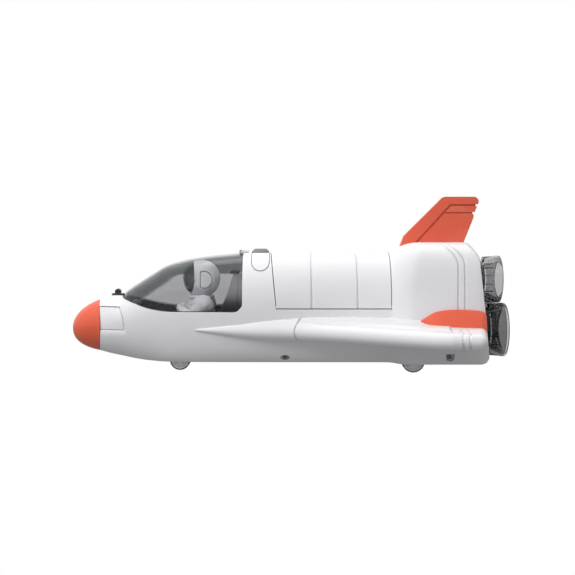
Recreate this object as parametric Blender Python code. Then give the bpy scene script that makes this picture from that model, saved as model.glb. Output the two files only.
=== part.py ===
"""Toy space shuttle: a rolling plastic orbiter with a smoked canopy, a seated astronaut,
two cargo bay doors, a tail fin, delta wings and three engine nozzles.

Frame: the nose points along -X and +Z is up, so the near side, -Y, is the toy's left.
The origin is on the floor, under the middle of the overall length.
All sizes below are millimetres; a station is the distance back from the nose tip.
"""

import math

import bmesh
import bpy
from mathutils import Matrix, Vector

MM = 0.001
GAP = 0.3  # clearance between two pieces that touch on the real toy
SHARP_ANGLE = 32.0  # an edge that bends more than this, in degrees, is a real corner

# Overall sizes
LENGTH = 341.0  # nose tip to the nozzles' rims
HALF_SPAN = 111.5
BELLY = 7.0  # height of the flat belly above the floor
WING_UNDERSIDE = 25.6

# Fuselage
NOSE_TIP = 0.004  # share of the nose cone where its first ring lies, before it is moved to the tip
NOSE_JOINT = 22.3  # station where the nose cone meets the body, at the centre plane
NOSE_BOW = 2.6  # how much further back the joint runs at the sides
REAR_FACE = 326.0
REAR_LEAN = 0.113  # how far the rear edge runs forward per millimetre of height, at the sides
REAR_SHOULDER = 44.0  # distance from the centre plane where it has its full lean
ROOF_BEND, ROOF_BEND_LENGTH = 84.5, 7.0  # height from which the rear edge also bends forward, and how gently
SKIN = 2.0

# Each row is (station, value); between rows the value runs straight.
HALF_WIDTH = ((22.3, 20.3), (31, 24.2), (41, 27.4), (54, 30.6), (66, 32.8), (82, 35), (103, 37),
              (122, 38.6), (140, 39.7), (156, 40), (251, 40), (256, 42.2), (262, 44.8), (268, 46),
              (316, 46), (322, 45.2), (326, 43.6))
TOP = ((22.3, 54.7), (26.5, 56.8), (31, 58.0), (36, 58.2), (41, 57.9), (43.2, 61.0), (45.7, 63.0),
       (55.3, 69.3), (64.9, 75.4), (70, 78.6), (74.5, 81.2), (79.3, 83.0), (84.1, 84.4), (93.7, 86.7),
       (103.3, 88.2), (112.9, 89.5), (122.5, 90.4), (132.5, 91.4), (140, 92.6), (146, 92.9), (251, 92.9),
       (256, 94.2), (262, 97.3), (268, 99.2), (275, 100.1), (310, 100.1), (317, 98.6), (322, 95),
       (326, 89.5))
WIDEST_AT = ((22.3, 34.5), (41, 38), (66, 43), (90, 47), (120, 48), (326, 48))
BOTTOM = ((22.3, 14.2), (32, 12), (42.5, 10.2), (52, 8.6), (62, 7.5), (75, 7), (318, 7), (323, 8.6),
          (326, 12.5))
FLAT_HALF_WIDTH = ((22.3, 4), (41, 9), (62, 16), (87, 24), (120, 25.5), (250, 26.8), (254, 31), (258, 38),
                   (262, 41.6), (326, 41.4))
ROUNDNESS = ((22.3, 2.0), (60, 2.2), (100, 2.4), (136, 2.3), (251, 2.3), (262, 3.4), (272, 4.6),
             (326, 4.6))

# Canopy
CANOPY_FRONT = 41.0
CANOPY_REAR = 137.0
RIM_HEIGHT = 46.7
RIM_CORNER = 7.0
RIM_CURVE = ((41.0, 57.0), (47, 54.8), (53.9, 52.4), (60, 50.2), (66.1, 48.7), (74, 47.3), (82.2, 46.7))
CANOPY_WALL = 1.2
CANOPY_HINGE = (134.8, 93.0)  # station and height of the hinge axis
HINGE_RADIUS = 1.4
HINGE_PIN_RADIUS = 0.65
HINGE_BARREL_HALF = 6.0
HINGE_LUG_END = 9.0

# Cockpit tub
TUB_FLOOR = 24.0
TUB_WALL = 1.5
TUB_INSET = 3.4
TUB_FRONT = 50.0
TUB_REAR = 133.6
TUB_LIP = -0.3  # how far the tub's edge stands above the body's rim

# Cargo bay and its doors
DOOR_EDGE = 49.9  # height of a door's lower edge
DOOR_LEDGE = 49.2
DOOR_FRONT_LOW = 163.1
DOOR_FRONT_TOP = 158.7
DOOR_REAR = 251.2
DOOR_GAP = 0.25
DOOR_AXIS = (38.95, 50.9)  # distance from the centre plane, and height
DOOR_PIN_RADIUS = 0.8
DOOR_PIN_LENGTH = 3.0
BAY_FLOOR = 30.0
BAY_HALF_WIDTH = 34.0
BAY_FRONT = 167.5
BAY_REAR = 247.0

# Wings
WING_ROOT = 33.0
WING_EDGE_ROUND = 5.2
WING_LEADING = ((101, 35.5), (125, 39.5), (150, 43.6), (179, 48.4), (196, 54.5), (210, 62.5), (224.7, 72.5),
                (240, 83.5), (255, 94), (268, 102.5), (278, 108.2), (287, 111.2))
WING_TIP_REAR = 307.5
WING_ROOT_TRAILING = (325.7, 33.0)
WING_TOP_ROOT = ((101, 33.6), (137, 38.6), (168, 41.4), (190, 42.6), (229, 43.0), (262, 40.4), (275, 38.8),
                 (325, 35.8))
WING_TOP_OUTER = ((101, 33.3), (125, 35.5), (150, 37.0), (179, 38.0), (262, 37.4), (325, 35.8))
WING_LOW = ((101, 32.4), (127.8, 27.9), (139.5, 26.4), (160, 25.6), (322, 25.6))
WING_FILLET_END = 58.0

# Wheels: station, height of the axle, tyre radius, outer face, width
FRONT_WHEEL = dict(station=87.3, radius=8.0, outer=20.0, width=6.0, hub=6.1)
REAR_WHEEL = dict(station=268.7, radius=9.0, outer=35.4, width=6.5, hub=6.9)
AXLE_RADIUS = 1.25
AXLE_BORE = 1.5

# Engines: centre offset from the centre plane, height, rim radius
NOZZLE_TOP = (0.0, 70.6, 18.4)
NOZZLE_SIDE = (23.0, 32.4, 20.4)
NOZZLE_NECK = 8.2  # length of a nozzle's straight neck, from its base
NOZZLE_WALL = 1.8
PLATE_THICKNESS = 2.0
PLATE_RECESS = 10.5
PLATE_RIM = 2.2

# Astronaut
HEAD = (103.0, 71.3)  # station and height of the helmet's centre
HEAD_RADIUS = 15.0
VISOR_RADIUS = 14.8
FACE_PLANE = 97.3  # station where the shell of the helmet ends and the visor begins

WHITE = (0.86, 0.86, 0.88)
ORANGE = (0.80, 0.115, 0.055)


def value(table, station):
    """Height or width at a station, straight between the table's rows."""
    if station <= table[0][0]:
        return table[0][1]
    for (s0, v0), (s1, v1) in zip(table, table[1:]):
        if station <= s1:
            return v0 + (v1 - v0) * (station - s0) / (s1 - s0)
    return table[-1][1]


def at(station, across, height):
    """A point of the row frame, in metres, from a station, a distance to the side and a height."""
    return Vector(((station - LENGTH / 2) * MM, across * MM, height * MM))


def material(name, colour, roughness, metallic=0.0, alpha=1.0):
    made = bpy.data.materials.new(name)
    made.use_nodes = True
    shader = made.node_tree.nodes["Principled BSDF"]
    shader.inputs["Base Color"].default_value = (*colour, 1.0)
    shader.inputs["Roughness"].default_value = roughness
    shader.inputs["Metallic"].default_value = metallic
    shader.inputs["Alpha"].default_value = alpha
    made.diffuse_color = (*colour, alpha)
    return made


def solid(name, bm, finish=None):
    """Closes a bmesh into a named object."""
    bmesh.ops.remove_doubles(bm, verts=bm.verts, dist=1e-7)
    bmesh.ops.recalc_face_normals(bm, faces=bm.faces)
    mesh = bpy.data.meshes.new(name)
    bm.to_mesh(mesh)
    bm.free()
    made = bpy.data.objects.new(name, mesh)
    bpy.context.scene.collection.objects.link(made)
    if finish is not None:
        made.data.materials.append(finish)
    return made


def combine(target, tool, operation, keep_tool=False):
    """Applies one exact Boolean of the tool to the target, then removes the tool."""
    step = target.modifiers.new("step", "BOOLEAN")
    step.operation = operation
    step.solver = "EXACT"
    step.object = tool
    graph = bpy.context.evaluated_depsgraph_get()
    graph.update()
    result = bpy.data.meshes.new_from_object(target.evaluated_get(graph))
    target.modifiers.remove(step)
    finish = list(target.data.materials)
    old = target.data
    target.data = result
    target.data.materials.clear()
    for entry in finish:
        target.data.materials.append(entry)
    bpy.data.meshes.remove(old)
    if not keep_tool:
        bpy.data.objects.remove(tool)
    return target


def cut(target, tool, keep_tool=False):
    return combine(target, tool, "DIFFERENCE", keep_tool)


def join(target, tool):
    return combine(target, tool, "UNION")


def keep_inside(target, tool, keep_tool=False):
    return combine(target, tool, "INTERSECT", keep_tool)


def loft(name, rings, finish=None):
    """Bridges closed rings of equal point counts, in order, and caps both ends."""
    bm = bmesh.new()
    loops = []
    for ring in rings:
        verts = [bm.verts.new(point) for point in ring]
        loops.append([bm.edges.new((verts[i], verts[(i + 1) % len(verts)])) for i in range(len(verts))])
        if ring is rings[0] or ring is rings[-1]:
            bm.faces.new(verts)
    for one, two in zip(loops, loops[1:]):
        bmesh.ops.bridge_loops(bm, edges=one + two)
    return solid(name, bm, finish)


def prism(name, outline, to_point, low, high, finish=None):
    """Extrudes a flat outline of (a, b) pairs from low to high; to_point(a, b, c) gives the frame's point."""
    bm = bmesh.new()
    face = bm.faces.new([bm.verts.new(to_point(a, b, low)) for a, b in outline])
    grown = bmesh.ops.extrude_face_region(bm, geom=[face])
    moved = [v for v in grown["geom"] if isinstance(v, bmesh.types.BMVert)]
    bmesh.ops.translate(bm, verts=moved, vec=to_point(0, 0, high) - to_point(0, 0, low))
    return solid(name, bm, finish)


def side_prism(name, outline, low, high, finish=None):
    """A prism whose outline is (station, height), extruded across the toy."""
    return prism(name, outline, lambda s, z, y: at(s, y, z), low, high, finish)


def plan_prism(name, outline, low, high, finish=None):
    """A prism whose outline is (station, across), extruded upwards."""
    return prism(name, outline, at, low, high, finish)


def box(name, stations, across, heights, finish=None):
    (s0, s1), (y0, y1) = stations, across
    return plan_prism(name, ((s0, y0), (s1, y0), (s1, y1), (s0, y1)), *heights, finish)


def turned(name, profile, centre, along, segments=24, finish=None):
    """Spins a closed (radius, distance) profile round an axis through centre along X, Y or Z."""
    turn = {"X": Matrix.Rotation(math.radians(90), 3, "Y"), "Y": Matrix.Rotation(math.radians(-90), 3, "X"),
            "Z": Matrix.Identity(3)}[along]
    bm = bmesh.new()
    verts = [bm.verts.new((r * MM, 0, d * MM)) for r, d in profile]
    edges = [bm.edges.new((a, b)) for a, b in zip(verts, verts[1:])]
    if profile[0][0] > 0 and profile[-1][0] > 0:
        edges.append(bm.edges.new((verts[-1], verts[0])))
    bmesh.ops.spin(bm, geom=verts + edges, cent=(0, 0, 0), axis=(0, 0, 1), angle=math.tau, steps=segments,
                   use_merge=True, use_duplicate=False)
    bmesh.ops.remove_doubles(bm, verts=bm.verts, dist=1e-6)
    bmesh.ops.transform(bm, verts=bm.verts, matrix=Matrix.Translation(centre) @ turn.to_4x4())
    return solid(name, bm, finish)


def rod(name, radius, centre, along, low, high, segments=12, finish=None):
    return turned(name, ((0, low), (radius, low), (radius, high), (0, high)), centre, along, segments, finish)


def ball(name, centre, radii, segments=20, rings=12, finish=None):
    bm = bmesh.new()
    bmesh.ops.create_uvsphere(bm, u_segments=segments, v_segments=rings, radius=1.0)
    bmesh.ops.scale(bm, verts=bm.verts, vec=[r * MM for r in radii])
    bmesh.ops.translate(bm, verts=bm.verts, vec=centre)
    return solid(name, bm, finish)


def limb(name, joints, segments=10, finish=None):
    """A tube through (station, across, height, radius) joints, with its rings square to the path."""
    centres = [at(*j[:3]) for j in joints]
    rings = []
    for i, (centre, joint) in enumerate(zip(centres, joints)):
        ahead = centres[min(i + 1, len(centres) - 1)] - centres[max(i - 1, 0)]
        turn = ahead.to_track_quat("Z", "Y")
        rings.append([centre + turn @ Vector((math.cos(a), math.sin(a), 0)) * joint[3] * MM
                      for a in (math.tau * k / segments for k in range(segments))])
    return loft(name, rings, finish)


def arc(centre, radius, start, end, steps):
    """Points of an arc, angles in degrees from +station towards +height."""
    return [(centre[0] + radius * math.cos(math.radians(start + (end - start) * i / steps)),
             centre[1] + radius * math.sin(math.radians(start + (end - start) * i / steps)))
            for i in range(steps + 1)]


LOW_STEPS = 6
HIGH_STEPS = 12


def section(station, grow=0.0):
    """The fuselage's closed outline at a station: a flat belly, a rounded bilge and a rounded roof."""
    half = value(HALF_WIDTH, station) + grow
    top = value(TOP, station) + grow
    middle = value(WIDEST_AT, station)
    bottom = value(BOTTOM, station) - grow
    flat = value(FLAT_HALF_WIDTH, station) + grow * 0.5
    power = 2 / value(ROUNDNESS, station)
    right = []
    for i in range(LOW_STEPS):
        t = math.pi / 2 * i / LOW_STEPS
        right.append((flat + (half - flat) * math.sin(t), middle - (middle - bottom) * math.cos(t)))
    for i in range(HIGH_STEPS + 1):
        t = math.pi / 2 * i / HIGH_STEPS
        right.append((half * max(math.cos(t), 0) ** power, middle + (top - middle) * math.sin(t) ** power))
    right[-1] = (0.0, top)
    left = [(-y, z) for y, z in reversed(right[:-1])]
    return [at(station, y, z) for y, z in right + left]


def stations_between(low, high):
    """The stations where any of the body's tables has a row, inside a range, with both its ends."""
    rows = {s for table in (HALF_WIDTH, TOP, BOTTOM, FLAT_HALF_WIDTH) for s, _ in table}
    return [low] + sorted(s for s in rows if low + 0.5 < s < high - 0.5) + [high]


def envelope(name, grow=0.0, low=NOSE_JOINT, high=REAR_FACE, finish=None):
    """The body's outer form between two stations, grown outwards by a distance."""
    return loft(name, [section(s, grow) for s in stations_between(low, high)], finish)


def canopy_region(gap):
    """Side outline of what the canopy covers, pulled in by a gap on the body's side of the joint."""
    curve = [(s + gap * 0.4, z + gap) for s, z in RIM_CURVE]
    rear = CANOPY_REAR - gap
    corner = arc((rear - RIM_CORNER, RIM_HEIGHT + gap + RIM_CORNER), RIM_CORNER, -90, 0, 4)
    return [(CANOPY_FRONT + gap, 120.0)] + curve + corner + [(rear, 120.0)]


def door_region(gap):
    """Side outline of what the cargo doors cover, pulled in by a gap."""
    low, high = DOOR_EDGE, 120.0
    lean = (DOOR_FRONT_LOW - DOOR_FRONT_TOP) / (92.9 - DOOR_EDGE)
    if gap < 0:
        low = DOOR_LEDGE
    front_low = DOOR_FRONT_LOW + gap
    return [(front_low, low), (DOOR_REAR - gap, low), (DOOR_REAR - gap, high),
            (front_low - lean * (high - low), high)]


def hinge_cylinder(name, radius, half_from, half_to):
    return rod(name, radius, at(CANOPY_HINGE[0], 0, CANOPY_HINGE[1]), "Y", half_from, half_to, 16)


def half_of(source, side):
    """A copy of the part of a solid that lies on one side of the centre plane."""
    half = bpy.data.objects.new("half", source.data.copy())
    bpy.context.scene.collection.objects.link(half)
    return keep_inside(half, box("side", (0, 400), tuple(sorted((side * 0.5, side * 80))), (-10, 200)))


def wheel_well(name, wheel, side, clearance=1.0):
    """A slot round one wheel, from below the belly up past the tyre."""
    inner, outer = wheel["outer"] - wheel["width"] - clearance, wheel["outer"] + clearance
    reach = wheel["radius"] + clearance
    across = (inner, outer) if side > 0 else (-outer, -inner)
    roof = 2 * wheel["radius"] + clearance
    return box(name, (wheel["station"] - reach, wheel["station"] + reach), across, (-1.0, roof))


def tub_half_width(station):
    return value(HALF_WIDTH, station) - TUB_INSET - max(0.0, (80.0 - station) * 0.05)


def tub_outline(inset):
    """Plan of the cockpit tub, narrowing towards the nose."""
    stops = [TUB_FRONT + inset, 56, 66, 82, 103, 122, TUB_REAR - inset]
    right = [(s, tub_half_width(s) - inset) for s in stops]
    return right + [(s, -y) for s, y in reversed(right)]


def make_body(white):
    body = envelope("body_shell", low=15.0, finish=white)
    cut(body, nose_joint("nose_room", 0.0))
    cut(body, side_prism("opening", canopy_region(0.0), -60, 60))
    pocket = plan_prism("pocket", tub_outline(-GAP), TUB_FLOOR - GAP, 80)
    cut(body, pocket)
    cut(body, side_prism("doors", door_region(-DOOR_GAP), -60, 60))
    cut(body, box("bay", (BAY_FRONT, BAY_REAR), (-BAY_HALF_WIDTH, BAY_HALF_WIDTH), (BAY_FLOOR, 60)))
    for side in (-1, 1):
        holes = at(0, side * DOOR_AXIS[0], DOOR_AXIS[1])
        reach = (DOOR_FRONT_LOW - DOOR_PIN_LENGTH - 0.5, DOOR_REAR + DOOR_PIN_LENGTH + 0.5)
        cut(body, rod("pin_holes", DOOR_PIN_RADIUS + 0.3, holes, "X", *reach))
    cut(body, belly_recess())
    for wheel in (FRONT_WHEEL, REAR_WHEEL):
        for side in (-1, 1):
            cut(body, wheel_well("well", wheel, side))
    cut(body, motor_pocket())
    axis_station, axis_height = CANOPY_HINGE
    lugs = hinge_cylinder("lugs", HINGE_RADIUS, -HINGE_LUG_END, HINGE_LUG_END)
    join(lugs, box("arms", (axis_station, CANOPY_REAR + 4), (-HINGE_LUG_END, HINGE_LUG_END),
                   (axis_height - 0.7, axis_height + 0.7)))
    room = (axis_station - 3, CANOPY_REAR + 1.5)
    barrel_room = box("barrel_room", room, (-HINGE_BARREL_HALF - GAP, HINGE_BARREL_HALF + GAP), (85, 100))
    cut(lugs, barrel_room)
    for side in (-1, 1):
        join(body, half_of(lugs, side))
    bpy.data.objects.remove(lugs)
    cut(body, hinge_cylinder("pin_bore", HINGE_PIN_RADIUS + 0.25, -HINGE_LUG_END - 1, HINGE_LUG_END + 1))
    cut(body, pad_region("pad_room", GAP, PAD_LOW, 60))
    cut(body, rear_sweep())
    cut(body, engine_recess())
    return body


# Roof pad: a strap over the roof with round ends, and the push button on it
PAD_CENTRE = 150.3
PAD_HALF = 7.1
PAD_END = 85.3
PAD_LOW = -2.4
PAD_HIGH = 0.5
BUTTON_SEAT = 91.9
BUTTON_RADIUS = 6.8
BUTTON_TOP = 95.0


def pad_region(name, gap, low, high):
    """The layer between two growths of the body's form, inside the pad's side outline."""
    half = PAD_HALF + gap
    outline = [(PAD_CENTRE + half, 130.0)] + arc((PAD_CENTRE, PAD_END), half, 0, -180, 10)
    outline += [(PAD_CENTRE - half, 130.0)]
    region = side_prism(name, outline, -60, 60)
    if high < 20:
        keep_inside(region, envelope("outer", high, 138, 164))
    cut(region, envelope("inner", low, 120, 175))
    return region


def make_roof(white, grey):
    pad = pad_region("roof_pad", 0.0, PAD_LOW + GAP, PAD_HIGH)
    pad.data.materials.clear()
    pad.data.materials.append(white)
    cut(pad, rod("button_seat", BUTTON_RADIUS + 0.9, at(PAD_CENTRE, 0, 0), "Z", BUTTON_SEAT, 120, 24))
    base, high = BUTTON_SEAT + GAP, BUTTON_TOP
    profile = ((0, base), (BUTTON_RADIUS, base), (BUTTON_RADIUS, high - 1.6), (BUTTON_RADIUS - 0.9, high - 0.5),
               (BUTTON_RADIUS - 2.2, high), (0, high))
    turned("sound_button", profile, at(PAD_CENTRE, 0, 0), "Z", 24, grey)


def nose_joint(name, gap):
    """The space ahead of the nose cone's joint, which is bowed back at both sides."""
    bow = [(NOSE_JOINT + gap + NOSE_BOW * (y / 20.0) ** 2, y) for y in range(-28, 29, 4)]
    return plan_prism(name, bow + [(-10, 28), (-10, -28)], 0, 80)


def make_nose(orange):
    """The nose cone: an egg-shaped cap, fuller above than below."""
    middle = 34.45
    base = [((p.y / MM), (p.z / MM)) for p in section(NOSE_JOINT)]
    rings = []
    for f in (NOSE_TIP, 0.03, 0.08, 0.16, 0.28, 0.42, 0.6, 0.8, 1.0):
        reach, blunt = math.sqrt(1 - (1 - f) ** 2), f ** 0.42
        above, below = 0.45 * reach + 0.55 * blunt, 0.25 * reach + 0.75 * blunt
        aside = 0.5 * reach + 0.5 * blunt
        rise, station = middle - 2.6 * (1 - f), NOSE_JOINT * (f - NOSE_TIP) / (1 - NOSE_TIP)
        rings.append([at(station, y * aside, rise + (z - middle) * (above if z > middle else below))
                      for y, z in base])
    rings += [section(s) for s in (26.5, 31, 36)]
    cone = loft("nose_cone", rings, orange)
    keep_inside(cone, nose_joint("joint", -GAP))


def make_canopy(glass, steel):
    canopy = envelope("canopy", 0.0, CANOPY_FRONT - 2, CANOPY_REAR + 2, glass)
    keep_inside(canopy, side_prism("region", canopy_region(GAP), -60, 60))
    cut(canopy, envelope("hollow", -CANOPY_WALL, CANOPY_FRONT - 3, CANOPY_REAR + 3))
    tongue = box("tongue", (31.5, 45.0), (-4.0, 4.0), (58.3, 59.3))
    join(canopy, tongue)
    knob = rod("knob", 2.3, at(36.2, 0, 60.7), "Y", -3.0, 3.0, 16)
    join(canopy, knob)
    axis_station, axis_height = CANOPY_HINGE
    bridge = box("bridge", (axis_station - 1.2, axis_station + 1.2),
                 (-HINGE_BARREL_HALF + 0.2, HINGE_BARREL_HALF - 0.2), (90.4, axis_height))
    join(canopy, bridge)
    reach = HINGE_LUG_END + 2 * GAP
    room = hinge_cylinder("lug_room", HINGE_RADIUS + 0.4, -reach, reach)
    join(room, box("arm_room", (axis_station, CANOPY_REAR + 4), (-reach, reach),
                   (axis_height - 1.1, axis_height + 4)))
    cut(room, box("barrel_zone", (120, 150), (-HINGE_BARREL_HALF, HINGE_BARREL_HALF), (80, 110)))
    for side in (-1, 1):
        cut(canopy, half_of(room, side))
    bpy.data.objects.remove(room)
    join(canopy, hinge_cylinder("barrel", HINGE_RADIUS, -HINGE_BARREL_HALF, HINGE_BARREL_HALF))
    cut(canopy, hinge_cylinder("bore", HINGE_PIN_RADIUS + 0.25, -HINGE_LUG_END - 1, HINGE_LUG_END + 1))
    pin = hinge_cylinder("canopy_hinge_pin", HINGE_PIN_RADIUS, -HINGE_LUG_END + 0.2, HINGE_LUG_END - 0.2)
    pin.data.materials.append(steel)


def make_cockpit(dark, black):
    tub = plan_prism("cockpit_tub", tub_outline(0.0), TUB_FLOOR, 80, dark)
    cut(tub, plan_prism("inside", tub_outline(TUB_WALL), TUB_FLOOR + TUB_WALL, 90))
    above = side_prism("above", canopy_region(-0.5), -60, 60)
    cut(above, envelope("canopy_room", -CANOPY_WALL - GAP, CANOPY_FRONT - 4, CANOPY_REAR + 4))
    cut(tub, above)
    rim = [(s, z + TUB_LIP) for s, z in canopy_region(0.0)[1:-1]]
    cut(tub, side_prism("rim", [(rim[0][0], 120)] + rim + [(TUB_REAR + 4, rim[-3][1]), (TUB_REAR + 4, 120)],
                        -60, 60))
    floor = TUB_FLOOR + TUB_WALL + GAP
    back = [(114, floor), (131.6, floor), (131.6, 50), (133.4, 74.4), (132.4, 76.6), (129.8, 76.6), (128.2, 73.4),
            (126.1, 65.4), (122.9, 56.6), (119.6, 49), (116.6, 40)]
    seat = side_prism("seat", back, -15, 15, dark)
    cushion = [(90, floor), (114.4, floor), (117, 34), (92, 33), (90, 31)]
    join(seat, side_prism("cushion", cushion, -15, 15))
    dash = [(TUB_FRONT + TUB_WALL + 1.2, floor), (66, floor), (66, 38), (61, 46), (53, 46)]
    side_prism("instrument_console", dash, -17, 17, dark)
    limb("control_stick", ((82, 0, floor, 2.2), (82, 0, 29, 1.2), (85, 0, 43.5, 1.2), (85.2, 0, 43.7, 2.0),
                           (86.0, 0, 48.5, 1.8)), 8, black)


def make_astronaut(suit, smoke):
    seat_top = 34.0
    torso_rings = []
    for height, half_long, half_wide in ((seat_top + 0.6, 9.0, 9.5), (37.5, 11.0, 11.6), (45, 11.2, 12.2),
                                         (51, 10.4, 11.6), (55, 8.6, 10.0), (57, 7.8, 8.6)):
        torso_rings.append([at(102.6 + half_long * math.cos(t), half_wide * math.sin(t), height)
                            for t in (math.tau * k / 20 for k in range(20))])
    torso = loft("astronaut_body", torso_rings, suit)
    for side in (-1, 1):
        leg = limb("leg", ((100, side * 5.5, 41, 5.0), (94, side * 6.5, 40.5, 5.3), (82, side * 7.5, 38.5, 5.0),
                           (77.5, side * 7.8, 36, 4.8), (76, side * 8, 31, 4.6), (75.8, side * 8, 26.6, 4.4)))
        join(torso, leg)
        join(torso, box("boot", (69.5, 80), (side * 8 - 4.2, side * 8 + 4.2), (26.1, 30.5)))
    for side, label in ((-1, "near"), (1, "far")):
        limb("astronaut_arm_" + label, ((104.2, side * 13.4, 52.4, 2.0), (103.8, side * 16.2, 51.6, 5.4),
                                        (102.5, side * 18.4, 47.5, 6.2), (98.5, side * 18.2, 43.0, 5.0),
                                        (93.5, side * 16.8, 43.6, 4.0), (88.8, side * 13.4, 46.7, 3.3),
                                        (86.8, side * 10.4, 48.1, 3.0), (86.2, side * 6.4, 48.5, 2.3)), 10, suit)
    helmet = ball("astronaut_helmet", at(HEAD[0], 0, HEAD[1]), (HEAD_RADIUS,) * 3, 24, 16, suit)
    cut(helmet, box("face", (60, FACE_PLANE), (-30, 30), (40, 100)))
    cut(helmet, box("neck", (60, 140), (-30, 30), (20, 57.4)))
    for side in (-1, 1):
        join(helmet, rod("ear", 6.2, at(HEAD[0] + 1.2, 0, HEAD[1] - 2.2), "Y", *sorted((side * 12, side * 16.2)), 16))
    visor = ball("astronaut_visor", at(HEAD[0], 0, HEAD[1]), (VISOR_RADIUS,) * 3, 24, 16, smoke)
    keep_inside(visor, box("face", (60, FACE_PLANE - GAP), (-30, 30), (57.4, 100)))


def make_door(side, label, white):
    low, high = (0.2, 60) if side > 0 else (-60, -0.2)
    door = envelope("cargo_door_" + label, 0.0, 150, 253, white)
    keep_inside(door, side_prism("region", door_region(DOOR_GAP), low, high))
    cut(door, envelope("hollow", -SKIN, 145, 258))
    centre = at(0, side * DOOR_AXIS[0], DOOR_AXIS[1])
    ends = ((DOOR_FRONT_LOW - DOOR_PIN_LENGTH, DOOR_FRONT_LOW + 3), (DOOR_REAR - 3, DOOR_REAR + DOOR_PIN_LENGTH))
    for low_end, high_end in ends:
        join(door, rod("pin", DOOR_PIN_RADIUS, centre, "X", low_end, high_end))


def wing_top(station, across):
    """Height of the wing's upper face: a fillet at the root, then nearly flat."""
    root, outer = value(WING_TOP_ROOT, station), value(WING_TOP_OUTER, station)
    start = value(HALF_WIDTH, station)
    share = min(max((WING_FILLET_END - across) / (WING_FILLET_END - start), 0.0), 1.0)
    return outer + (root - outer) * share ** 2


def make_wing(side, label, white, body_form):
    outline = [(101, WING_ROOT)] + list(WING_LEADING)
    outline += arc((WING_TIP_REAR - 1.0, HALF_SPAN - 6.0), 6.0, 90, 15, 4)
    outline += [WING_ROOT_TRAILING]
    bm = bmesh.new()
    thick = 12.0
    low, high = WING_UNDERSIDE, WING_UNDERSIDE + thick
    face = bm.faces.new([bm.verts.new(at(s, y, low)) for s, y in outline])
    grown = bmesh.ops.extrude_face_region(bm, geom=[face])
    bmesh.ops.translate(bm, verts=[v for v in grown["geom"] if isinstance(v, bmesh.types.BMVert)],
                        vec=(0, 0, thick * MM))
    root = WING_ROOT * MM
    rims = [e for e in bm.edges if abs(e.verts[0].co.z - e.verts[1].co.z) < 1e-6
            and not (abs(e.verts[0].co.y - root) < 1e-6 and abs(e.verts[1].co.y - root) < 1e-6)]
    bmesh.ops.bevel(bm, geom=rims, offset=WING_EDGE_ROUND * MM, segments=3, profile=0.5, affect="EDGES",
                    material=-1, clamp_overlap=True)
    bmesh.ops.triangulate(bm, faces=[f for f in bm.faces if len(f.verts) > 4])
    spans = [e for e in bm.edges if e.calc_length() > 30 * MM]
    bmesh.ops.subdivide_edges(bm, edges=spans, cuts=3)
    for v in bm.verts:
        station, across = v.co.x / MM + LENGTH / 2, v.co.y / MM
        share = (v.co.z / MM - low) / (high - low)
        bottom = value(WING_LOW, station)
        v.co.z = (bottom + share * (wing_top(station, across) - bottom)) * MM
    if side < 0:
        bmesh.ops.scale(bm, verts=bm.verts, vec=(1, -1, 1))
    wing = solid("wing_" + label, bm, white)
    bmesh_triangulate(wing)
    raised = bpy.data.objects.new("raised_wing", wing.data.copy())
    bpy.context.scene.collection.objects.link(raised)
    raised.data.transform(Matrix.Translation((GAP * MM, 0, GAP * MM)))
    cut(wing, body_form, keep_tool=True)
    return raised


def bmesh_triangulate(made):
    bm = bmesh.new()
    bm.from_mesh(made.data)
    bmesh.ops.triangulate(bm, faces=bm.faces)
    bmesh.ops.recalc_face_normals(bm, faces=bm.faces)
    bm.to_mesh(made.data)
    bm.free()


# Orange fairing at each wing root: its top line and its foot, as (station, height, distance)
FAIRING = ((272.0, 40.6, 47.6), (275, 42.4, 49.3), (279.0, 45.0, 51.4), (284.3, 47.7, 53.2),
           (293, 49.2, 54.2), (301.6, 49.5, 54.6), (310.3, 49.2, 54.8), (315.0, 48.8, 54.8),
           (317.8, 48.4, 54.7), (319.6, 48.0, 54.5), (321.0, 47.4, 54.2), (322.2, 45.6, 53.4))
FAIRING_FOOT = ((315.0, 36.6), (317.8, 34.6), (319.6, 32.6), (321.0, 31.0), (322.2, 31.0))


def make_fairing(side, label, orange, body_form, raised_wing):
    rings = []
    for s, top, foot in FAIRING:
        drop = value(FAIRING_FOOT, s) if s > 314 else 60.0
        low_in = min(wing_top(s, 46) - 1.5, drop)
        low_out = min(wing_top(s, foot) - 1.5, drop)
        crest = 46.6 + (foot - 46.6) * 0.14
        shoulder = foot - (foot - crest) * 0.45
        ring = [(42, low_in), (46.5, low_in), (foot, low_out), (shoulder, low_out + (top - low_out) * 0.55),
                (crest + 0.5, top - 0.6), (crest - 0.6, top), (42, top + 0.1)]
        rings.append([at(s, side * y, z) for y, z in ring])
    fairing = loft("wing_fairing_" + label, rings, orange)
    bmesh_triangulate(fairing)
    cut(fairing, body_form, keep_tool=True)
    cut(fairing, raised_wing)


# Tail fin, in side view
FIN_FRAME = ((258.0, 90.0), (261.0, 96.6), (264.2, 105.0), (294.0, 134.8))
FIN_TOP = 136.3
FIN_TOP_END = 320.6
FIN_REAR = ((322.9, 129.6), (320.9, 124.6), (319.8, 122.2), (319.8, 119.8), (311.6, 99.0), (311.0, 90.0))
FIN_HALF_LOW = 3.2
FIN_HALF_HIGH = 2.2
FIN_PANEL = ((276.6, 102.6), (301.0, 129.4), (330.0, 129.4), (330, 102.6))


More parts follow.
